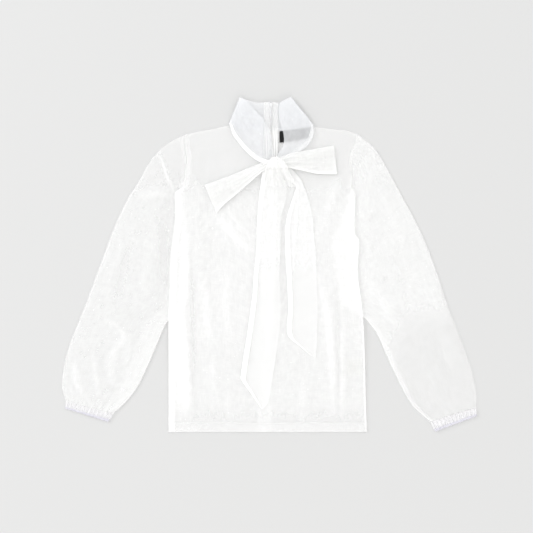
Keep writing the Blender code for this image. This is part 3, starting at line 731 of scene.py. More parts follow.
def panel(name, rows, density, seams, hem_density):
    """A body panel with seam allowances between its columns, thin at the armhole, and a turned hem."""
    layers = [sheet(name, rows, organza, density=density)]
    for first, last, cloth in seams:
        part = raised(rows[:, first:last], STRIP_LIFT)
        share = mix(0.3, 1.0, fade(part[..., 1], 172.5, 125.9))
        layers.append(sheet(name + "_allowance", part, cloth, density=share))
    hem = raised(rows[:HEM_ROWS, seams[0][1] - 1 : seams[1][0] + 1], STRIP_LIFT)
    layers.append(sheet(name + "_hem", hem, organza, density=np.full(hem.shape[:2], hem_density)))
    hem_lines[name] = rows[HEM_ROWS - 1]
    return join(name, layers)


backs = []
for name, places, seams in (
    (
        "back_left_cloth",
        np.linspace(HEM_LEFT, HEM_MIDDLE - 0.2, 44),
        ((0, 4, organza_turned), (40, 44, organza_turned)),
    ),
    (
        "back_right_cloth",
        np.linspace(HEM_MIDDLE + 0.2, HEM_RIGHT, 46),
        ((0, 4, organza_turned), (44, 46, organza)),
    ),
):
    rows = body_rows(places, back_top, back_height)
    backs.append(panel(name, rows, body_shade_density(rows[..., 1], -0.32), seams, 0.3))
back_left_cloth, back_right_cloth = backs
print("back halves have", faces(*backs), "faces")

# %% [markdown]
# ## Front
#
# The front is one piece. It carries the largest creases: long lengthwise folds low at each side, and one
# diagonal fold under the left loop of the bow.

# %% Front panel with its creases and hem
FRONT_CREASES = (
    (
        18.4,
        0.49,
        1.26,
        ((-196.4, -54.3), (-192.2, -160.3), (-190.0, -228.2), (-184.7, -308.7), (-181.6, -372.3)),
    ),
    (7.5, 1.68, 0.49, ((-186.9, -88.2), (-180.5, -170.9), (-173.1, -255.7), (-167.8, -338.4))),
    (7.5, -0.56, -0.42, ((-166.7, 89.8), (-163.5, -54.3), (-161.4, -202.7), (-158.2, -346.9))),
    (10.3, 1.68, 0.49, ((-141.3, -11.9), (-132.8, -101.0), (-123.3, -194.2))),
    (7.5, 1.33, 0.42, ((-118.8, -181.5), (-120.5, -228.2), (-118.0, -287.5))),
    (10.9, 1.96, 0.42, ((-122.2, 125.9), (-84.0, 77.1), (-26.8, 9.3))),
    (5.2, 0.98, 0.28, ((-113.7, 108.9), (-81.9, 66.5), (-41.6, 24.1))),
    (8.0, 0.84, 0.21, ((-96.8, 132.2), (-62.8, 81.4), (-26.8, 43.2))),
    (9.2, 2.03, 0.63, ((102.5, -20.4), (117.4, -75.5), (128.0, -149.7), (134.3, -228.2), (139.6, -346.9))),
    (6.3, -0.56, -0.42, ((141.7, -24.6), (144.9, -160.3), (146.6, -346.9))),
    (6.9, 1.61, 0.56, ((152.3, -113.7), (155.1, -223.9), (153.4, -346.9))),
    (6.9, 0.84, 0.35, ((-168.8, 204.3), (-151.9, 168.3), (-141.3, 123.8))),
    (8.0, 0.77, 0.35, ((157.6, 208.6), (142.8, 170.4), (128.0, 125.9))),
    (10.3, 0.7, 0.28, ((-88.3, 5.0), (-92.5, -75.5), (-86.2, -170.9))),
    (8.0, 0.63, 0.21, ((-132.8, 274.3), (-118.0, 225.5), (-118.0, 183.1))),
    (8.0, 0.63, 0.21, ((132.2, 276.4), (117.4, 221.3), (119.5, 161.9))),
    (10.3, 0.77, 0.28, ((64.4, -228.2), (72.8, -287.5), (66.5, -342.6))),
    (9.2, 0.7, 0.28, ((-79.8, -257.8), (-86.2, -304.5), (-81.9, -346.9))),
    (5.8, 0.56, 0.28, ((-198.5, -156.1), (-190.0, -185.8), (-194.3, -228.2))),
)


def front_height(x, y):
    """The front lies on the back, with its creases."""
    return front_z(x, y) + 0.3 + slow_waves(x, y, 0.6) + creases(x, y, FRONT_CREASES)[0]


front_rows = body_rows(np.linspace(HEM_LEFT, HEM_RIGHT, 92), front_top, front_height)
front_density = creases(front_rows[..., 0], front_rows[..., 1], FRONT_CREASES)[1]
front_density *= body_shade_density(front_rows[..., 1], 0.32)
front_seams = ((0, 4, organza_turned), (90, 92, organza))
front_cloth = panel("front_cloth", front_rows, front_density, front_seams, 0.5)
print("front has", faces(front_cloth), "faces")

# %% [markdown]
# ## Sleeves
#
# A sleeve is a tube that lies flat, so each row is a ring: across the top from the outer fold to the
# inner seam, and back along the underside. At the armhole the row follows the curved seam, and from
# there it eases into straight lines. Towards the cuff the fullness is gathered into small uneven folds.

# %% Creases of the sleeves
SLEEVE_ROWS = 140
SLEEVE_ACROSS = 40
SLEEVE_TOP = 1.95
SLEEVE_ARCH = 3.2

LEFT_SLEEVE_CREASES = (
    (9.4, 0.94, 0.75, ((-283.3, 142.8), (-243.0, 149.2), (-198.5, 151.3))),
    (
        9.4,
        1.21,
        0.68,
        (
            (-357.5, -115.8),
            (-327.2, -130.6),
            (-309.2, -154.0),
            (-323.6, -177.3),
            (-334.6, -202.7),
            (-334.6, -236.6),
            (-326.8, -268.4),
        ),
    ),
    (8.2, 0.99, 0.68, ((-415.8, -194.2), (-410.5, -236.6), (-402.9, -264.2), (-394.6, -285.4))),
    (16.5, 0.72, 0.18, ((-313.0, 68.6), (-336.3, -3.4), (-357.5, -75.5))),
    (15.4, 0.77, 0.22, ((-249.4, 68.6), (-260.0, -16.2), (-279.1, -101.0))),
    (6.6, 0.66, 0.38, ((-376.6, -185.8), (-370.2, -228.2), (-361.8, -279.0))),
    (8.8, -0.39, -0.3, ((-293.9, 51.7), (-313.0, -22.5), (-325.7, -86.1))),
    (8.8, -0.33, -0.38, ((-232.4, 111.0), (-226.1, 41.1), (-226.1, -54.3))),
    (3.4, 0.5, 1.3, ((-240.9, 242.5), (-228.2, 219.2), (-217.0, 185.2), (-200.6, 151.3))),
    (7.7, 0.55, 0.45, ((-296.0, -139.1), (-300.3, -185.8), (-313.0, -245.1))),
)
RIGHT_SLEEVE_CREASES = (
    (10.3, 1.44, 0.83, ((206.4, -22.5), (237.1, -73.4), (257.9, -112.4), (274.2, -151.8))),
    (14.9, 1.92, 0.6, ((329.4, -11.9), (362.0, -103.1), (385.8, -192.1), (403.6, -236.6), (416.3, -296.0))),
    (4.6, -0.36, -0.3, ((344.2, -139.1), (367.5, -207.0), (382.4, -270.6))),
    (4.6, 1.02, 0.75, ((367.5, -270.6), (372.8, -298.1), (380.2, -327.8))),
    (9.2, 0.72, 0.38, ((234.0, 157.7), (259.4, 102.6), (287.0, 30.5))),
    (16.1, 0.78, 0.22, ((287.0, 5.0), (310.3, -75.5), (335.7, -160.3))),
    (6.9, 0.84, 0.45, ((327.2, -185.8), (348.4, -240.9), (356.9, -296.0))),
    (8.0, -0.42, -0.3, ((259.4, 30.5), (284.8, -54.3), (306.0, -130.6))),
    (6.9, 0.72, 0.38, ((204.3, 225.5), (212.8, 187.4), (208.5, 145.0))),
)


def sleeve_shade_density(x, y):
    """Painted shade and light in the density: the cloth is thinnest, so greyest, over the shoulder and low
    on the right, and fuller, so whiter, on the right and in mid-sleeve.
    """
    right = fade(x, 64.4, 164.4)
    along = 0.35 * (x - 287.0) - 0.94 * y
    low_right = fade(along, 60.0, 170.0) * fade(x, 230.0, 300.0)
    shoulder = fade(y, 125.9, 200.1)
    return 0.78 - 0.14 * shoulder - 0.62 * low_right + 0.42 * right


print("creases on the sleeves:", len(LEFT_SLEEVE_CREASES), "left,", len(RIGHT_SLEEVE_CREASES), "right")

# %% [markdown]
# Both walls of a tube run in one ring of points, so the folds at its edges are closed and round. The
# seam allowance and the turned cap lie inside, just under the upper wall.

# %% Sleeve tubes
def lines_between(lines, station, share):
    """Points on lines across a strip, as x and y, and the length of each line."""
    ends = spline(lines, station)
    x = ends[:, None, 0] * (1 - share) + ends[:, None, 2] * share
    y = ends[:, None, 1] * (1 - share) + ends[:, None, 3] * share
    return x, y, np.hypot(ends[:, 0] - ends[:, 2], ends[:, 1] - ends[:, 3])[:, None]


def rolled_edge(from_edge, radius):
    """Runs from 0 at a folded edge to 1 along a quarter of a circle."""
    return np.sqrt(1.0 - (1.0 - np.clip(from_edge / radius, 0.0, 1.0)) ** 2)


def flat_tube(x, y, top, low):
    """Rings of points of a tube that lies flat: across its upper wall, and back along the lower one."""
    upper = np.stack([x, y, top], axis=-1)
    under = np.stack([x, y, low], axis=-1)[:, ::-1][:, 1:-1]
    return np.concatenate([upper, under], axis=1)


def tube_rows(lines, armhole, side, body_edge, crease_table, gathers):
    """Rings of points of a flat sleeve from the armhole to the cuff."""
    flat = np.linspace(0.0, 1.0, SLEEVE_ACROSS)
    steps = np.concatenate([[0.0, 0.004, 0.012], flat[1:-1], [0.988, 0.996, 1.0]])
    station = np.linspace(0.0, 1.0, SLEEVE_ROWS)
    x, y, width = lines_between(lines, station, steps)
    seam = spline(armhole[::-1], steps)[:, ::-1]
    seam[:, 0] += side * 0.4
    pull = 1.0 - ease(station * (len(lines) - 1) / 1.6)[:, None]
    x = x + pull * (seam[None, :, 0] - x[0])
    y = y + pull * (seam[None, :, 1] - y[0])
    from_edge = np.minimum(steps, 1.0 - steps)[None, :] * width
    roundness = rolled_edge(from_edge, 1.2)
    away = side * (x - body_edge(np.maximum(y, HEM_Y))) - 4.0
    rise = ease(away / 30.0) * np.sin(np.pi * steps)[None, :] ** 0.5
    rise = rise * ease(station * (len(lines) - 1) / 3.0)[:, None]
    free = ease(away / 16.0) * ease(from_edge / 9.0)
    to_cuff = (1.0 - station)[:, None] * 600.0
    folds = np.zeros(x.shape)
    for count, phase, reach, height in gathers:
        wander = 0.5 * np.sin(steps * 7.0 + phase)[None, :] + 0.25 * np.sin(to_cuff / 23.0 + phase)
        wave = np.cos(2 * np.pi * count * steps[None, :] + phase + wander)
        folds += height * wave * np.exp(-to_cuff / reach)
    folds = folds * ease(from_edge / 4.0)
    crease_height, density = creases(x, y, crease_table)
    shape = (crease_height + slow_waves(x, y, 0.9)) * free
    top = SLEEVE_TOP + SLEEVE_ARCH * rise + shape + folds + 0.5 * np.exp(-to_cuff / 30.0) * free
    low = 0.25 + 0.2 * slow_waves(x, y, 1.0)
    middle = 1.1
    top = middle + (np.maximum(top, 1.5) - middle) * roundness
    low = middle + (low - middle) * roundness
    fuller, deep = (0.5, 0.8) if side < 0 else (0.0, 0.36)
    # Painted shade and light: the density map makes parts of the sleeve greyer and others whiter.
    lie = sleeve_shade_density(x, y)
    upper_wall = mix(1.0, density, deep) * lie * (1.0 + fuller) + 0.2 * folds
    upper_wall = upper_wall * (1.0 + 0.6 * ease(-away / 8.0))
    under_wall = mix(1.0, density, 0.36) * lie * (1.0 - fuller)
    density = np.concatenate([upper_wall, under_wall[:, ::-1][:, 1:-1]], axis=1)
    return flat_tube(x, y, top, low), density, steps


# Columns: count, phase, reach, height.
LEFT_GATHERS = ((13, 0.4, 14.0, 0.8), (7, 2.0, 34.0, 0.5), (23, 4.0, 8.0, 0.6))
RIGHT_GATHERS = ((14, 1.4, 15.0, 0.8), (6, 3.1, 38.0, 0.5), (24, 0.7, 8.0, 0.6))
sleeves = []
for name, shape, gathers, seam_width, seam_cloth in (
    (
        "sleeve_left_cloth",
        (SLEEVE_LEFT, LEFT_ARMHOLE, -1.0, left_edge, LEFT_SLEEVE_CREASES),
        LEFT_GATHERS,
        12,
        organza_turned,
    ),
    (
        "sleeve_right_cloth",
        (SLEEVE_RIGHT, RIGHT_ARMHOLE, 1.0, right_edge, RIGHT_SLEEVE_CREASES),
        RIGHT_GATHERS,
        6,
        organza,
    ),
):
    rings, density, steps = tube_rows(*shape, gathers)
    layers = [sheet(name, rings, organza, ring=True, density=density)]
    across = len(steps)
    seam = rings[3:, across - seam_width : across - 1].copy()
    seam[..., 2] = np.maximum(seam[..., 2] - 0.34, 0.75)
    seam_share = np.tile(np.linspace(0.5, 1.2, seam.shape[1]), (len(seam), 1))
    layers.append(sheet(name + "_seam", seam, seam_cloth, wall=0.2, density=seam_share))
    cap = raised(rings[:4, 1 : across - 1], -0.34)
    layers.append(sheet(name + "_cap", cap, organza, wall=0.2, density=np.full(cap.shape[:2], 0.5)))
    sleeves.append(join(name, layers))
sleeve_left_cloth, sleeve_right_cloth = sleeves
print("sleeves have", faces(*sleeves), "faces")

# %% [markdown]
# ## Elastic cuffs
#
# The wrist is drawn in by a narrow elastic inside a casing. The casing is fuller than the elastic, so it
# stands in fine upright ripples all the way round. Rings of points with a rippled radius give that.

# %% Rippled cuffs
casing_cloth = new_cloth("casing over elastic", (0.975, 0.97, 0.98), 0.31, roughness=0.8, mottle=0.2)
edging_cloth = new_cloth("lavender grey edging", (0.77, 0.76, 0.83), 0.42, roughness=0.8, mottle=0.2)
stitch_thread = new_cloth("sewing thread", (0.98, 0.98, 0.975), 0.95, roughness=0.55)


def cuff_rows(lines, phase):
    """Rings of points of a cuff, with ripples across its height."""
    across = np.linspace(0.0, 1.0, 120)
    station = np.linspace(0.0, 1.0, 9)
    x, y, width = lines_between(lines, station, across)
    roundness = rolled_edge(np.minimum(across, 1.0 - across)[None, :] * width, 1.6)
    ripple = 0.32 * np.sin(across * 150.0 + 0.9 * np.sin(across * 31.0 + phase))[None, :]
    belly = 0.3 * np.sin(np.pi * station)[:, None]
    top = 1.45 + (1.25 + ripple + belly) * roundness
    low = 1.35 - 1.15 * roundness
    shift = 0.35 * np.sin(across * 75.0 + phase)[None, :] * np.sin(np.pi * station / 2.0)[:, None] ** 2
    return flat_tube(x, y + shift, top, low)


cuffs = []
for name, lines, phase in (("cuff_left_cloth", CUFF_LEFT, 0.3), ("cuff_right_cloth", CUFF_RIGHT, 2.1)):
    rings = cuff_rows(lines, phase)
    ripples = 1.0 + 0.25 * np.sin(np.linspace(0.0, 150.0, rings.shape[1]) + phase)
    ripple_density = np.tile(ripples, (len(rings), 1))
    layers = [sheet(name, rings, casing_cloth, ring=True, wall=0.3, density=ripple_density)]
    edging = rings[6:].copy()
    edging[..., 2] = 1.4 + (edging[..., 2] - 1.4) * 1.14
    layers.append(sheet(name + "_edging", edging, edging_cloth, ring=True, wall=0.25))
    cuffs.append(join(name, layers))
cuff_left_cloth, cuff_right_cloth = cuffs
print("cuffs are", round((CUFF_LEFT[0][1] - CUFF_LEFT[-1][1]) * 0.95, 1), "mm high at their outer ends")

# %% [markdown]
# ## Folded strips: the tie collar and the bow loops
#
# The collar is a long tie, sewn to the neckline at its middle. It stands up behind the neck, folds at
# each side and comes down to the knot. The loops are the same kind of strip: out from the knot, round a
# fold and back. One helper lays both: rows of points under, an arc round the fold, rows over.

# %% Folded strip helper
# The doubled cloth of the loops and the knot is a little greyer than the white of the body: painted shade of
# the puffed loops.
organza_double_shaded = new_cloth("painted shade on doubled organza", (0.965, 0.965, 0.96), 0.38, bump=0.05, mottle=0.1)
# The collar's doubled cloth is greyer and cooler still: painted shade of a collar that stands up in cool
# light.
organza_collar_shaded = new_cloth("painted shade on doubled organza of the collar", (0.915, 0.922, 0.937), 0.4, bump=0.06)
organza_seam = new_cloth("seam with its allowances", ORGANZA_WHITE, 0.8)


def away_from(row, point):
    """Unit direction square to a line, pointing away from a point."""
    along_line = np.array([row[2] - row[0], row[3] - row[1]])
    square = np.array([along_line[1], -along_line[0]]) / np.hypot(*along_line)
    middle = np.array([(row[0] + row[2]) / 2.0, (row[1] + row[3]) / 2.0])
    return square if np.dot(middle - np.array(point), square) > 0 else -square


def laid_rows(lines, count, across, height):
    """Rows of points between the two edges of a strip, at heights of (x, y, order, share)."""
    order = np.linspace(0.0, 1.0, count)
    share = np.linspace(0.0, 1.0, across)
    x, y = lines_between(lines, order, share)[:2]
    z = height(x, y, order[:, None] + 0 * x, share[None, :] + 0 * x)
    return np.stack([x, y, z], axis=-1)


# Places of the rows round a fold.
FOLD_DEGREES = (-60.0, -30.0, 0.0, 30.0, 60.0)


def folded_strip(under, over, out):
    """Rows under, round the fold and back over. Both start at the near end."""
    low, high = under[-1], over[-1]
    arcs = []
    for degrees in FOLD_DEGREES:
        turn = math.radians(degrees)
        radius = (high[:, 2:] - low[:, 2:]) / 2.0
        middle = (high + low) / 2.0
        reach = radius * math.cos(turn) * np.array([[out[0], out[1], 0.0]])
        arcs.append(middle + reach + radius * math.sin(turn) * np.array([[0.0, 0.0, 1.0]]))
    return np.concatenate([under, np.array(arcs), over[::-1]])


print("a fold has", len(FOLD_DEGREES), "rows")

# %% [markdown]
# ## Tie collar
#
# The two halves start at the zip, a few millimetres apart. The doubled cloth makes them denser than the
# shoulders, and their grey is cooler and darker: painted shade of a collar that stands up in cool light.
# The seam to the neckline shows as a bright narrow band, because the allowances of the collar and of the
# body lie there on each other.

# %% Marks of the collar
# Columns: x, y. Top edge of the back of the collar, from the zip to the fold.
COLLAR_LEFT_TOP = ((2.2, 345.3), (-16.2, 342.1), (-37.4, 345.3), (-50.1, 349.5), (-61.8, 353.6))
COLLAR_RIGHT_TOP = ((3.5, 345.3), (17.7, 341.1), (28.3, 345.3), (36.8, 350.6), (43.6, 354.2))
# Columns: seam_x, seam_y, free_x, free_y. The front of the collar, from the fold to the knot.
COLLAR_LEFT_FRONT = (
    (-85.1, 296.7, -61.8, 353.6),
    (-78.7, 276.4, -52.2, 348.5),
    (-70.0, 263.3, -44.6, 343.0),
    (-58.6, 248.8, -30.0, 325.2),
    (-46.3, 235.7, -14.1, 308.2),
    (-28.9, 221.3, 0.8, 282.8),
    (-9.8, 212.8, 5.4, 251.0),
    (3.9, 209.6, 9.7, 227.6),
)
COLLAR_RIGHT_FRONT = (
    (91.9, 294.6, 43.6, 354.2),
    (93.0, 276.4, 32.6, 348.5),
    (83.0, 255.2, 21.5, 340.0),
    (66.5, 240.8, 20.3, 310.3),
    (51.6, 231.9, 28.3, 282.8),
    (34.7, 222.3, 29.4, 255.2),
    (14.5, 209.6, 13.1, 227.6),
)
print("collar fronts are", len(COLLAR_LEFT_FRONT), "and", len(COLLAR_RIGHT_FRONT), "lines")

# %% Collar halves
def collar_back_lines(top_edge, base, side):
    """Lines of the back of the collar from the zip to the fold, between the neck seam and the top edge."""
    near = back_neck_marks[side * (back_neck_marks[:, 0] - CENTRE_NECK[0]) > 5.0]
    near = near[np.argsort(side * near[:, 0])][:-1]
    seam = [(CENTRE_NECK[0] + side, CENTRE_NECK[1] + 0.35)] + [(x, y + 0.35) for x, y in near] + [base[:2]]
    top = spline(top_edge, np.linspace(0.0, 1.0, len(seam)))
    top[0, 0] = CENTRE_NECK[0] + side
    return np.hstack([np.array(seam), top])


COLLAR_CREASES = {
    -1.0: (
        (4.0, 0.9, 0.2, ((-71.3, 306.1), (-50.1, 289.1), (-24.7, 259.4))),
        (4.0, 0.7, 0.2, ((-56.5, 340.0), (-43.8, 306.1), (-16.2, 251.0))),
    ),
    1.0: (
        (4.5, 0.9, 0.2, ((77.1, 323.0), (55.9, 289.1), (30.4, 251.0))),
        (4.0, 0.8, 0.2, ((45.3, 344.2), (36.8, 310.3), (24.1, 267.9))),
    ),
}
COLLAR_BACK_ROWS, COLLAR_FRONT_ROWS, COLLAR_ACROSS = 30, 44, 26
first_over = COLLAR_BACK_ROWS + len(FOLD_DEGREES)
collars = []
for name, top_edge, front_lines, side in (
    ("collar_left_cloth", COLLAR_LEFT_TOP, COLLAR_LEFT_FRONT, -1.0),
    ("collar_right_cloth", COLLAR_RIGHT_TOP, COLLAR_RIGHT_FRONT, 1.0),
):

    def under_height(x, y, order, share):
        return back_z(x, y) + 0.5

    def over_height(x, y, order, share):
        return upper_z(x, y) + 0.9 + creases(x, y, COLLAR_CREASES[side])[0] * ease(8.0 * (1 - order))

    back_lines = collar_back_lines(top_edge, front_lines[0], side)
    under = laid_rows(back_lines, COLLAR_BACK_ROWS, COLLAR_ACROSS, under_height)
    over = laid_rows(front_lines[::-1], COLLAR_FRONT_ROWS, COLLAR_ACROSS, over_height)
    inside_neck = (CENTRE_NECK[0], CENTRE_NECK[1] - 42.0)
    rows = folded_strip(under, over, away_from(front_lines[0], inside_neck))
    from_centre = np.abs(rows[first_over:, :, 0] - centre_x(rows[first_over:, :, 1]))
    collar_density = np.ones(rows.shape[:2])
    collar_density[first_over:] -= 0.4 * fade(from_centre, 18.0, 14.0)
    layers = [sheet(name, rows, organza_collar_shaded, density=collar_density)]
    inward = rows[:, -1] - rows[:, 0]
    inward = inward / np.linalg.norm(inward, axis=1)[:, None]
    band = rows[:, :1] + inward[:, None, :] * np.linspace(0.0, 9.6, 5)[None, :, None]
    band[..., 2] = rows[:, :1, 2] + 0.35
    layers.append(sheet(name + "_seam_back", band[:COLLAR_BACK_ROWS, :3], organza_collar_shaded, wall=0.2))
    band = band[first_over - 2 :]
    seam_share = np.full(band.shape[:2], 0.32 if side > 0 else 1.0)
    layers.append(sheet(name + "_seam_front", band, organza_seam, wall=0.2, density=seam_share))
    collars.append(join(name, layers))
collar_left_cloth, collar_right_cloth = collars
print("collar halves have", faces(*collars), "faces")

# %% [markdown]
# ## Bow loops
#
# A loop is pinched at the knot and opens to its full width at the fold. The pinch sends creases out from
# the knot, which die away towards the fold. The lower edge is the sewn edge of the tie, with its
# allowance inside, so it shows brighter.

# %% Marks of the loops
# Columns: upper_x, upper_y, lower_x, lower_y. Edges of each bow loop from the knot to its fold.
LOOP_LEFT = (
    (10.5, 221.3, 10.5, 208.6),
    (-1.4, 221.5, -1.4, 206.6),
    (-24.7, 212.2, -23.6, 189.5),
    (-50.1, 201.8, -48.0, 168.3),
    (-77.7, 190.5, -71.3, 147.9),
    (-107.4, 178.9, -94.6, 128.4),
    (-137.0, 168.5, -112.0, 109.8),
)
LOOP_RIGHT = (
    (12.2, 223.4, 12.2, 206.4),
    (24.1, 227.6, 24.9, 205.2),
    (43.2, 234.8, 45.3, 203.7),
    (66.5, 239.3, 70.7, 198.4),
    (91.9, 243.7, 97.2, 192.4),
    (115.2, 248.2, 121.6, 191.2),
    (135.4, 251.6, 142.4, 191.0),
)
# Columns: order, rise over the front.
LOOP_RISE = np.array(((0.0, 5.9), (0.17, 5.6), (0.3, 3.7), (0.5, 2.3), (0.75, 0.9), (1.0, 0.6)))
KNOT_CENTRE = (11.4, 214.9)
print("the knot is at", KNOT_CENTRE)

# %% Loops with their pleats
def loop_low(x, y, order, share):
    """The lower layer of a loop rises to the knot."""
    return upper_z(x, y) + np.interp(order, LOOP_RISE[:, 0], LOOP_RISE[:, 1]) + 0.4


def loop_high(phase):
    """The upper layer is puffed, with creases that run out from the knot."""

    def height(x, y, order, share):
        puff = 2.4 * np.sin(np.pi * np.minimum(order * 0.9 + 0.06, 1.0)) * np.sin(np.pi * share) ** 0.7
        out = np.clip(order - 0.12, 0.0, 1.0)
        fold = np.cos(share * 19.0 + phase) + 0.6 * np.cos(share * 33.0 + 2.0 * phase + 3.0 * order)
        radial = 0.55 * fold * np.exp(-((out / 0.42) ** 2)) * np.sin(np.pi * share) ** 0.5
        from_fold = (share - 0.42 - 0.1 * math.cos(phase)) / 0.09
        long_fold = 0.9 * np.exp(-(from_fold**2)) * np.sin(np.pi * order)
        return loop_low(x, y, order, share) + 1.5 + puff + radial + long_fold

    return height


def loop_density(rows, phase):
    """The creases from the knot, and the sewn edge, lie denser than the cloth between them."""
    count, across = rows.shape[:2]
    share = np.linspace(0.0, 1.0, across)[None, :]
    out = 1.0 - np.abs(np.linspace(-1.0, 1.0, count))[:, None]
    pinch = np.exp(-((out / 0.45) ** 2))
    fold = np.cos(share * 19.0 + phase) + 0.6 * np.cos(share * 33.0 + 2.0 * phase + 3.0 * out)
    return 0.78 + 0.3 * share**2 + 0.14 * fold * pinch + 0.08 * np.cos(share * 7.0 + out * 5.0 + phase)


LOOP_ROWS, LOOP_ACROSS = 52, 30
loops = []
for name, lines, phase in (
    ("bow_loop_left_cloth", LOOP_LEFT, 0.4),
    ("bow_loop_right_cloth", LOOP_RIGHT, 2.3),
):
    under = laid_rows(lines, LOOP_ROWS, LOOP_ACROSS, loop_low)
    over = laid_rows(lines, LOOP_ROWS, LOOP_ACROSS, loop_high(phase))
    rows = folded_strip(under, over, away_from(lines[-1], KNOT_CENTRE))
    layers = [sheet(name, rows, organza_double_shaded, density=loop_density(rows, phase))]
    edge = rows[4:-4, 26:].copy()
    edge[..., 2] += np.where(np.arange(len(edge)) < LOOP_ROWS - 1, STRIP_LIFT, -STRIP_LIFT)[:, None]
    layers.append(sheet(name + "_edge", edge, organza_seam, wall=0.2))
    loops.append(join(name, layers))
bow_loop_left_cloth, bow_loop_right_cloth = loops
print("loops have", faces(*loops), "faces")

# %% [markdown]
# ## Tie ends
#
# Each end of the tie is a long tube, folded at one edge and sewn at the other, and closed by a slanting
# seam. The tube is a ring of points again. The sewn edges carry their allowance inside, a strip that
# shows white through the cloth.

# %% Marks of the tie ends
# Columns: left_x, left_y, right_x, right_y. Lines across each tie end from the knot to its tip.
TAIL_LEFT = (
    (-6.7, 217.0, 8.6, 217.0),
    (-15.1, 195.8, 23.0, 195.8),
    (-19.4, 166.2, 35.1, 166.2),
    (-23.4, 134.4, 33.2, 132.2),
    (-25.7, 102.6, 24.1, 102.6),
    (-26.8, 72.9, 22.8, 72.9),
    (-28.3, 30.5, 22.4, 30.5),
    (-32.7, -14.0, 20.7, -14.0),
    (-35.7, -58.6, 22.0, -58.6),
    (-41.6, -103.1, 23.2, -103.1),
    (-47.6, -147.6, 19.4, -147.6),
    (-55.0, -192.1, 13.5, -194.2),
    (-60.7, -232.4, 6.5, -236.6),
    (-60.3, -244.1, 2.9, -262.1),
    (-42.7, -269.5, 0.3, -279.0),
    (-27.9, -290.9, -3.5, -291.8),
    (-16.6, -307.0, -12.0, -305.8),
)
TAIL_RIGHT = (
    (11.4, 217.0, 26.2, 220.2),
    (26.6, 193.7, 51.6, 196.9),
    (41.0, 178.9, 66.5, 178.9),
    (55.9, 164.0, 72.8, 164.5),
    (46.8, 134.8, 83.0, 134.8),
    (36.6, 101.9, 90.4, 101.9),
    (32.3, 72.2, 92.8, 72.2),
    (33.2, 43.2, 95.7, 43.2),
    (33.8, 12.7, 98.7, 12.7),
    (37.6, -46.7, 100.2, -43.7),
    (39.3, -94.4, 101.5, -94.6),
    (37.9, -147.6, 100.4, -151.8),
    (62.2, -172.0, 98.9, -179.4),
    (87.7, -193.2, 97.6, -198.1),
)
TAIL_CREASES = {
    "tie_tail_left_cloth": (
        (3.5, 0.7, 0.2, ((2.9, 195.8), (5.0, 136.5), (-3.5, 51.7))),
        (4.0, 0.6, 0.2, ((-7.7, 157.7), (-16.2, 72.9), (-16.2, -22.5))),
        (4.5, 0.5, 0.2, ((-12.0, -75.5), (-16.2, -160.3), (-28.9, -228.2))),
    ),
    "tie_tail_right_cloth": (
        (3.0, 1.0, 0.5, ((58.0, 174.6), (60.1, 140.7), (53.8, 68.6), (49.5, -11.9), (51.6, -94.6))),
        (4.0, 0.6, 0.2, ((72.8, 145.0), (77.1, 51.7), (79.2, -54.3))),
        (4.5, 0.5, 0.2, ((70.7, -54.3), (75.0, -117.9), (79.2, -173.0))),
    ),
}
print("tie ends are", len(TAIL_LEFT), "and", len(TAIL_RIGHT), "lines")

# %% Tubes of the tie ends
EDGE_SPREAD = 0.35


def ring_of(top, low):
    """Closes an upper and a lower sheet of points to rings, with a soft roll at both edges."""
    middle = (top + low) / 2.0
    for layer in (top, low):
        for column in (0, -1):
            layer[:, column] = mix(middle[:, column], layer[:, column], EDGE_SPREAD)
    return np.concatenate([top, low[:, ::-1]], axis=1)


TAIL_ROWS, TAIL_ACROSS = 150, 26
tails = []
for name, lines in (("tie_tail_left_cloth", TAIL_LEFT), ("tie_tail_right_cloth", TAIL_RIGHT)):

    def tail_low(x, y, order, share):
        near_knot = fade(y, 145.0, 195.8)
        return upper_z(x, y) + mix(0.75, 1.6, near_knot) + 0.15

    def tail_high(x, y, order, share):
        lie = creases(x, y, TAIL_CREASES[name])[0] + slow_waves(x, y, 0.35)
        return tail_low(x, y, order, share) + 0.62 + lie * np.sin(np.pi * share) ** 0.5

    low = laid_rows(lines, TAIL_ROWS, TAIL_ACROSS, tail_low)
    top = laid_rows(lines, TAIL_ROWS, TAIL_ACROSS, tail_high)
    strip = mix(low, top, 0.5)
    density = creases(top[..., 0], top[..., 1], TAIL_CREASES[name])[1]
    upper_part = fade(top[..., 1], -54.3, 30.5)
    density *= 0.77 + 1.2 * upper_part
    density = np.concatenate([density, 1.0 - 0.55 * upper_part], axis=1)
    layers = [sheet(name, ring_of(top, low), organza_tie, ring=True, wall=0.2, density=density)]
    layers.append(sheet(name + "_allowance", strip[6:, :5], organza_seam, wall=0.2))
    tails.append(join(name, layers))
tie_tail_left_cloth, tie_tail_right_cloth = tails
print("tie ends have", faces(*tails), "faces")

# %% [markdown]
# ## Knot
#
# The knot is the tie wrapped once round the pinched loops. Rings across it follow its outline, and the
# pleats of the squeezed cloth are waves along its height that bend a little from side to side.

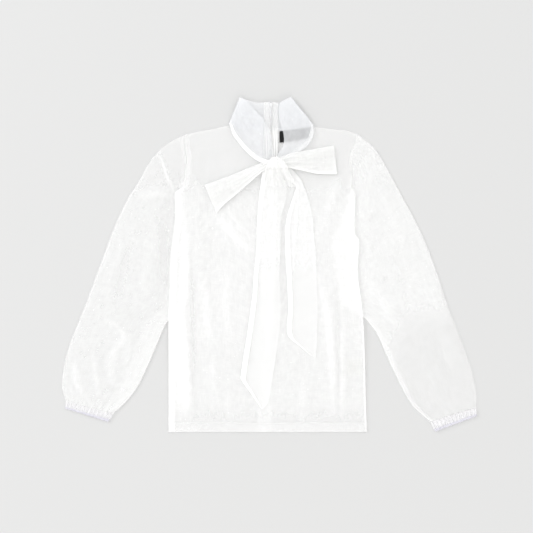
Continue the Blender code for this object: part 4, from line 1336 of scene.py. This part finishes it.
# %% The knot band
KNOT_WIDTH, KNOT_DEPTH, KNOT_HEIGHT, KNOT_Z = 22.0, 27.0, 10.4, 7.6
turns = np.linspace(0.0, 2.0 * np.pi, 96, endpoint=False)
across = np.linspace(-0.5, 0.5, 34)
swell = 1.0 - 0.14 * (2.0 * np.abs(across)) ** 2.6
wave_y = np.sign(np.cos(turns)) * np.abs(np.cos(turns)) ** 0.7
wave_z = np.sign(np.sin(turns)) * np.abs(np.sin(turns)) ** 0.7
pleat = np.cos(across[:, None] * 34.0 + 1.3 * np.sin(turns * 2.0 + 0.6)[None, :])
pleat = 0.55 * pleat * (0.65 + 0.35 * np.sin(turns * 3.0 + across[:, None] * 4.0))
reach_y = KNOT_DEPTH / 2.0 * swell[:, None] - 0.7 + pleat
reach_z = KNOT_HEIGHT / 2.0 * swell[:, None] - 0.7 + 0.6 * pleat
knot_rows = np.stack(
    [
        KNOT_CENTRE[0] + across[:, None] * KNOT_WIDTH + 0.7 * np.sin(turns + 0.5)[None, :],
        KNOT_CENTRE[1] + wave_y[None, :] * reach_y,
        KNOT_Z + KNOT_HEIGHT / 2.0 + wave_z[None, :] * reach_z,
    ],
    axis=-1,
)
knot_density = np.full(knot_rows.shape[:2], 0.7)
knot_band = sheet("bow_knot_cloth", knot_rows, organza_double_shaded, ring=True, wall=0.4, density=knot_density)
print("the knot band is", KNOT_WIDTH, "mm wide and", KNOT_HEIGHT, "mm high")

# %% [markdown]
# Below the knot the tie ends leave it together. The cloth is still pleated there, and fans out to the
# width of both ends, so a short pleated sheet covers their upper part.

# %% Pleats below the knot
FAN = (
    (5.6, 226.6, 16.7, 227.6),
    (-1.8, 217.0, 28.3, 220.0),
    (-7.3, 206.4, 36.8, 207.9),
    (-10.9, 193.7, 43.2, 193.7),
    (-15.6, 178.9, 52.7, 176.8),
    (-16.6, 167.9, 59.3, 164.0),
)


def fan_height(x, y, order, share):
    """Lies on the tie ends and rises into the knot."""
    pleats = 0.45 * np.cos(share * 22.0 + 1.0 + 2.0 * order) + 0.3 * np.cos(share * 37.0 - 1.5 * order)
    near_knot = fade(y, 176.8, 206.4)
    round_knot = (1.0 - np.clip(np.abs(y - KNOT_CENTRE[1]) / 13.0, 0.0, 1.0) ** 2.857) ** 0.35
    beside = 1.0 - 0.14 * np.minimum(np.abs(x - KNOT_CENTRE[0]) / 11.0, 1.2) ** 2.6
    over_knot = KNOT_Z + KNOT_HEIGHT / 2.0 * (1.0 + round_knot * beside) + 0.3
    lying = upper_z(x, y) + 2.9 + 1.6 * near_knot
    return mix(lying, np.maximum(over_knot, lying), near_knot) + pleats * (1.0 - 0.5 * order)


FAN_ROWS, FAN_ACROSS = 40, 44
fan_rows = laid_rows(FAN, FAN_ROWS, FAN_ACROSS, fan_height)
fan_pleats = 0.8 + 0.25 * np.cos(np.linspace(0.0, 22.0, FAN_ACROSS) + 1.0)[None, :]
fan_density = fan_pleats * (1.0 + 0.9 * (1.0 - ease(np.linspace(-0.6, 1.2, FAN_ROWS))))[:, None]
fan_cloth = sheet("tie_fan", fan_rows, organza_double_shaded, wall=0.2, density=fan_density)
bow_knot_cloth = join("bow_knot_cloth", [knot_band, fan_cloth])
print("the knot with its pleats has", faces(bow_knot_cloth), "faces")

# %% [markdown]
# ## Zip at the centre back
#
# A concealed zip: its teeth are one coil per side, on the inner face, which is the one seen through the
# sheer front. The tapes are woven close, so they are denser than the cloth. One tooth is modelled, a low
# bridge with its ends turned down, and its copies are joined to one mesh.

# %% Zip tapes
zip_tape_cloth = new_cloth("woven zip tape", (0.97, 0.97, 0.965), 0.62, roughness=0.8, bump=0.25)
TAPE_IN, TAPE_OUT = 1.6, 15.5
zip_levels = np.linspace(ZIP_END_Y, CENTRE_TOP_Y, 150)


def tape_rows(near, far, columns, lift):
    """Rows of a tape beside the centre line."""
    share, y = np.meshgrid(np.linspace(0.0, 1.0, columns), zip_levels)
    middle = centre_x(y)
    x = middle + mix(near, far, share)
    z = back_z(middle, y) + LAYER + lift + 0.12 * np.cos(share * np.pi * 2.0)
    return np.stack([x, y, z], axis=-1)


def tape_density(columns):
    """Woven ribs and the turned edge of the back run along the tape, which lies single inside the collar."""
    share = np.linspace(0.0, 1.0, columns)[None, :]
    in_collar = fade(zip_levels, 276.4, 297.6)[:, None]
    ribs = 0.85 + 0.3 * np.cos(share * 25.0) + 0.35 * np.exp(-(((share - 0.5) / 0.06) ** 2))
    return ribs * mix(1.0, 0.55, in_collar)


zip_tapes = []
for name, near, far in (
    ("zip_tape_left_cloth", -TAPE_OUT, -TAPE_IN),
    ("zip_tape_right_cloth", TAPE_IN, TAPE_OUT),
):
    rows = tape_rows(near, far, 36, 0.3)
    zip_tapes.append(sheet(name, rows, zip_tape_cloth, wall=0.4, density=tape_density(36)))
zip_tape_left_cloth, zip_tape_right_cloth = zip_tapes
print("zip tapes are", round(CENTRE_TOP_Y - ZIP_END_Y), "mm long and", TAPE_OUT - TAPE_IN, "mm wide")

# %% Coil teeth
def fine_grain(material, scale, detail=2.0):
    """Noise that keeps its size on the object, as an output of a material's nodes."""
    nodes = material.node_tree.nodes
    place = nodes.new("ShaderNodeTexCoord")
    noise = nodes.new("ShaderNodeTexNoise")
    noise.inputs["Scale"].default_value = scale
    noise.inputs["Detail"].default_value = detail
    material.node_tree.links.new(place.outputs["Object"], noise.inputs["Vector"])
    return noise.outputs["Fac"]


nylon, nylon_shader = new_material("white nylon coil")
nylon_shader.inputs["Base Color"].default_value = (0.9, 0.9, 0.9, 1.0)
nylon_shader.inputs["Subsurface Weight"].default_value = 0.1
nylon_rough = nylon.node_tree.nodes.new("ShaderNodeMapRange")
nylon_rough.inputs["To Min"].default_value = 0.28
nylon_rough.inputs["To Max"].default_value = 0.5
nylon.node_tree.links.new(fine_grain(nylon, 700.0), nylon_rough.inputs["Value"])
nylon.node_tree.links.new(nylon_rough.outputs["Result"], nylon_shader.inputs["Roughness"])

TOOTH_PITCH = 1.25
SLIDER_Y = CENTRE_TOP_Y - 5.6
tooth_levels = np.arange(ZIP_END_Y + 4.0, SLIDER_Y - 4.8, TOOTH_PITCH)
print("the coil has a tooth every", TOOTH_PITCH, "mm on each side")

# %% [markdown]
# A tooth starts as a cube. Its two ends are extruded down and inwards, its edges get a bevel, and the
# finished tooth is copied along the zip. The stitches of the hems are made by the same helper.

# %% One tooth and its copies
def copies(name, model, places, material):
    """Copies a small model to places of x, y, z in millimetres and a turn, and joins them to one mesh."""
    twins = []
    for x, y, z, turn in places:
        twin = bpy.data.objects.new(name, model.data.copy())
        twin.location = (x * MM, y * MM, z * MM)
        twin.rotation_euler = (0.0, 0.0, turn)
        scene.collection.objects.link(twin)
        twins.append(twin)
    bpy.context.view_layer.update()
    whole = join(name, twins)
    settle(whole)
    bpy.ops.object.transform_apply(location=True, rotation=True, scale=True)
    whole.data.uv_layers.new(name="threads")
    return put_finish(whole, material)


def bridge(length, width, height, leg):
    """A little bar along X whose two ends are extruded down and inwards, like a staple with soft corners."""
    deselect()
    bpy.ops.mesh.primitive_cube_add(size=MM)
    model = bpy.context.object
    bpy.ops.object.mode_set(mode="EDIT")
    bpy.ops.transform.resize(value=(length, width, height))
    for side in (-1.0, 1.0):
        bpy.ops.mesh.select_all(action="DESELECT")
        shape = bmesh.from_edit_mesh(model.data)
        for face in shape.faces:
            at_end = face.calc_center_median().x * side > 0.45 * length * MM
            face.select_set(face.normal.x * side > 0.9 and at_end)
        bmesh.update_edit_mesh(model.data)
        bpy.ops.mesh.extrude_region_move(TRANSFORM_OT_translate={"value": (side * leg * MM, 0.0, -leg * MM)})
        bpy.ops.transform.resize(value=(1.0, 0.6, 0.6))
    bpy.ops.mesh.select_all(action="SELECT")
    bpy.ops.mesh.bevel(offset=0.22 * min(width, height) * MM, segments=1)
    bpy.ops.mesh.normals_make_consistent(inside=False)
    bpy.ops.object.mode_set(mode="OBJECT")
    return model


teeth = []
for side, start in ((-1.0, 0.0), (1.0, TOOTH_PITCH / 2.0)):
    for y in tooth_levels + start:
        middle = centre_x(y)
        teeth.append((middle + side * 0.75, y, float(back_z(middle, y)) + LAYER + 0.85, 0.12 * side))
tooth = bridge(1.5, 0.8, 0.7, 0.4)
zip_coil_teeth = copies("zip_coil_teeth", tooth, teeth, nylon)
print(len(teeth), "teeth in the coil, of", len(tooth.data.polygons), "faces each")
bpy.data.objects.remove(tooth)

# %% [markdown]
# ## Labels
#
# A black satin neck label and a white care label at the side seam, both plain. Satin has long floats,
# which give a soft directional shine. The care label is folded over once, so it has two layers.

# %% Two plain labels
LABEL_ROWS, LABEL_ACROSS = 14, 18
NECK_LABEL = ((21.1, 258.2), (83.4, 267.9), (86.8, 290.8), (21.1, 282.3))
CARE_LABEL = ((153.4, -237.3), (195.8, -237.3), (195.8, -197.4), (153.4, -197.4))
black_satin = new_cloth("black satin", (0.012, 0.012, 0.013), 0.98, roughness=0.42)
white_satin = new_cloth("white satin", (0.9, 0.9, 0.885), 0.32, roughness=0.4)


def label_rows(corners, lift):
    """Rows of a label between its four corners."""
    share = np.linspace(0.0, 1.0, LABEL_ACROSS)
    low = mix(np.array(corners[0]), np.array(corners[1]), share[:, None])
    top = mix(np.array(corners[3]), np.array(corners[2]), share[:, None])
    rows = mix(low[None], top[None], np.linspace(0.0, 1.0, LABEL_ROWS)[:, None, None])
    z = back_z(rows[..., 0], rows[..., 1]) + LAYER + lift
    return np.concatenate([rows, z[..., None]], axis=-1)


neck_label_cloth = sheet("neck_label_cloth", label_rows(NECK_LABEL, 0.25), black_satin, wall=0.3)
care_low, care_top = label_rows(CARE_LABEL, 0.15), label_rows(CARE_LABEL, 0.55)
care_rows = np.concatenate([care_low[::-1], care_top])
care_rows[LABEL_ROWS - 1 : LABEL_ROWS + 1, :, 1] -= 0.3
layers = [sheet("care_label_cloth", care_rows, white_satin, wall=0.2)]
for row, toward in ((-1, -2), (0, 1)):
    ends = np.stack([care_top[row], mix(care_top[row], care_top[toward], 0.55)])
    ends[..., 2] += 0.25
    layers.append(sheet("care_label_end", ends, organza_seam, wall=0.2))
care_label_cloth = join("care_label_cloth", layers)
print("labels have", faces(neck_label_cloth, care_label_cloth), "faces")

# %% [markdown]
# ## Stitches
#
# The hems and the zip tapes are sewn by machine with even stitches. One stitch is modelled, a thread that
# dips into the cloth at both ends, and copied along each seam.

# %% Rows of stitches
STITCH_PITCH = 2.6
stitch = bridge(1.3, 0.4, 0.32, 0.3)


def stitch_path(points):
    """Places of stitches along a row of points: x, y, z, turn."""
    reach = running_sum(np.hypot(*np.diff(points[:, :2], axis=0).T))
    places = []
    for at in np.arange(STITCH_PITCH / 2.0, reach[-1], STITCH_PITCH):
        x, y, z = (np.interp(at, reach, points[:, axis]) for axis in range(3))
        number = min(int(np.searchsorted(reach, at)), len(points) - 1)
        ahead = points[number] - points[number - 1]
        places.append((x, y, z, math.atan2(ahead[1], ahead[0])))
    return places


def sewn(piece, seam):
    """Joins stitches along a row of points to a piece."""
    places = stitch_path(raised(seam, 0.25))
    return join(piece.name, [piece, copies(piece.name + "_stitches", stitch, places, stitch_thread)])


front_cloth = sewn(front_cloth, hem_lines["front_cloth"])
back_left_cloth = sewn(back_left_cloth, hem_lines["back_left_cloth"])
back_right_cloth = sewn(back_right_cloth, hem_lines["back_right_cloth"])
zip_tape_left_cloth = sewn(zip_tape_left_cloth, tape_rows(-TAPE_OUT + 2.0, -TAPE_OUT + 3.0, 2, 0.55)[:, 0])
zip_tape_right_cloth = sewn(zip_tape_right_cloth, tape_rows(TAPE_OUT - 3.0, TAPE_OUT - 2.0, 2, 0.55)[:, 1])
bpy.data.objects.remove(stitch)
print("stitches are", STITCH_PITCH, "mm apart")

# %% [markdown]
# ## Slider and pull
#
# Both are die-cast and painted white, with a fine grain in the paint. The solids have sharp edges, which no
# casting has, so a copy of each is merged and its edges are rounded with a Bevel modifier.

# %% Painted metal
painted, paint = new_material("white painted metal")
paint_ramp = painted.node_tree.nodes.new("ShaderNodeValToRGB")
paint_ramp.color_ramp.elements[0].position = 0.35
paint_ramp.color_ramp.elements[0].color = (0.7, 0.7, 0.71, 1.0)
paint_ramp.color_ramp.elements[1].position = 0.55
paint_ramp.color_ramp.elements[1].color = (0.86, 0.86, 0.86, 1.0)
painted.node_tree.links.new(fine_grain(painted, 900.0, detail=4.0), paint_ramp.inputs["Fac"])
painted.node_tree.links.new(paint_ramp.outputs["Color"], paint.inputs["Base Color"])
paint.inputs["Roughness"].default_value = 0.35
paint.inputs["Metallic"].default_value = 0.2


def rounded_copy(node_name, edge):
    """A copy of a solid with its doubles merged and its edges rounded by an edge in millimetres."""
    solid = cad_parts[node_name]
    thing = bpy.data.objects.new(node_name + "_painted", solid.data.copy())
    thing.matrix_world = solid.matrix_world.copy()
    scene.collection.objects.link(thing)
    settle(thing)
    bpy.ops.object.mode_set(mode="EDIT")
    bpy.ops.mesh.select_all(action="SELECT")
    bpy.ops.mesh.remove_doubles(threshold=0.002 * MM)
    bpy.ops.mesh.dissolve_limited(angle_limit=math.radians(2.0))
    bpy.ops.object.mode_set(mode="OBJECT")
    bevel = thing.modifiers.new("edge", "BEVEL")
    bevel.width = edge * MM
    bevel.segments = 2
    bevel.limit_method = "ANGLE"
    bpy.ops.object.modifier_apply(modifier=bevel.name)
    bpy.ops.object.shade_smooth_by_angle(angle=math.radians(40.0))
    thing.data.materials.clear()
    thing.data.materials.append(painted)
    return thing


zip_slider_painted = rounded_copy("zip_slider", 0.12)
zip_pull_painted = rounded_copy("zip_pull", 0.2)
print("slider and pull have", faces(zip_slider_painted, zip_pull_painted), "faces")

# %% [markdown]
# ## What each piece is
#
# Every piece rides on its body and takes the place of its plain solid. The table lists each sheet with the
# size it was cut to, with its hems and allowances; the loop uses only the piece and its solid.

# %% Bodies, solids and cut sizes
both_backs = ("back_left_cloth", "back_right_cloth")
# Columns: piece, solid, finish, width, length, hold, share of the rectangle, what it rests on.
PIECES = (
    (back_left_cloth, "back_left", "organza", 0.215, 0.665, "laid", 0.93, ("sleeve_left_cloth",)),
    (back_right_cloth, "back_right", "organza", 0.222, 0.665, "laid", 0.93, ("sleeve_right_cloth",)),
    (front_cloth, "front_panel", "organza", 0.432, 0.665, "laid", 0.93, both_backs),
    (sleeve_left_cloth, "sleeve_left", "organza", 0.42, 0.60, "laid", 0.8, ()),
    (sleeve_right_cloth, "sleeve_right", "organza", 0.42, 0.60, "laid", 0.8, ()),
    (cuff_left_cloth, "cuff_left", "elastic", 0.205, 0.02, "gathered", None, ()),
    (cuff_right_cloth, "cuff_right", "elastic", 0.205, 0.02, "gathered", None, ()),
    (collar_left_cloth, "collar_left", "organza", 0.18, 0.075, "folded", None, ("front_cloth",)),
    (collar_right_cloth, "collar_right", "organza", 0.18, 0.075, "folded", None, ("front_cloth",)),
    (bow_loop_left_cloth, "bow_loop_left", "organza", 0.27, 0.055, "folded", None, ("front_cloth",)),
    (bow_loop_right_cloth, "bow_loop_right", "organza", 0.25, 0.055, "folded", None, ("front_cloth",)),
    (bow_knot_cloth, "bow_knot", "organza", 0.07, 0.075, "folded", None, ("bow_loop_left_cloth",)),
    (tie_tail_left_cloth, "tie_tail_left", "organza", 0.14, 0.53, "folded", None, ("front_cloth",)),
    (tie_tail_right_cloth, "tie_tail_right", "organza", 0.14, 0.43, "folded", None, ("front_cloth",)),
    (zip_tape_left_cloth, "zip_tape_left", "zip_tape", 0.014, 0.42, "laid", None, ("back_left_cloth",)),
    (zip_tape_right_cloth, "zip_tape_right", "zip_tape", 0.014, 0.42, "laid", None, ("back_right_cloth",)),
    (neck_label_cloth, "neck_label", "black_label", 0.064, 0.025, "laid", None, ("back_right_cloth",)),
    (care_label_cloth, "care_label", "white_label", 0.0424, 0.08, "folded", None, ("back_right_cloth",)),
)
for piece, solid, finish, width, length, held, share, rests_on in PIECES:
    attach(piece, "blouse")
    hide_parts(solid)
    list(rests_on)
for piece, solid, body, finish in (
    (zip_coil_teeth, "zip_coil", "blouse", "zip_coil"),
    (zip_slider_painted, "zip_slider", "blouse", "zip_metal"),
    (zip_pull_painted, "zip_pull", "pull", "zip_metal"),
):
    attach(piece, body)
    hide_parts(solid)
print(len(PIECES), "sheets are declared with their cut sizes")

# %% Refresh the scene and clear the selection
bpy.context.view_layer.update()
deselect()
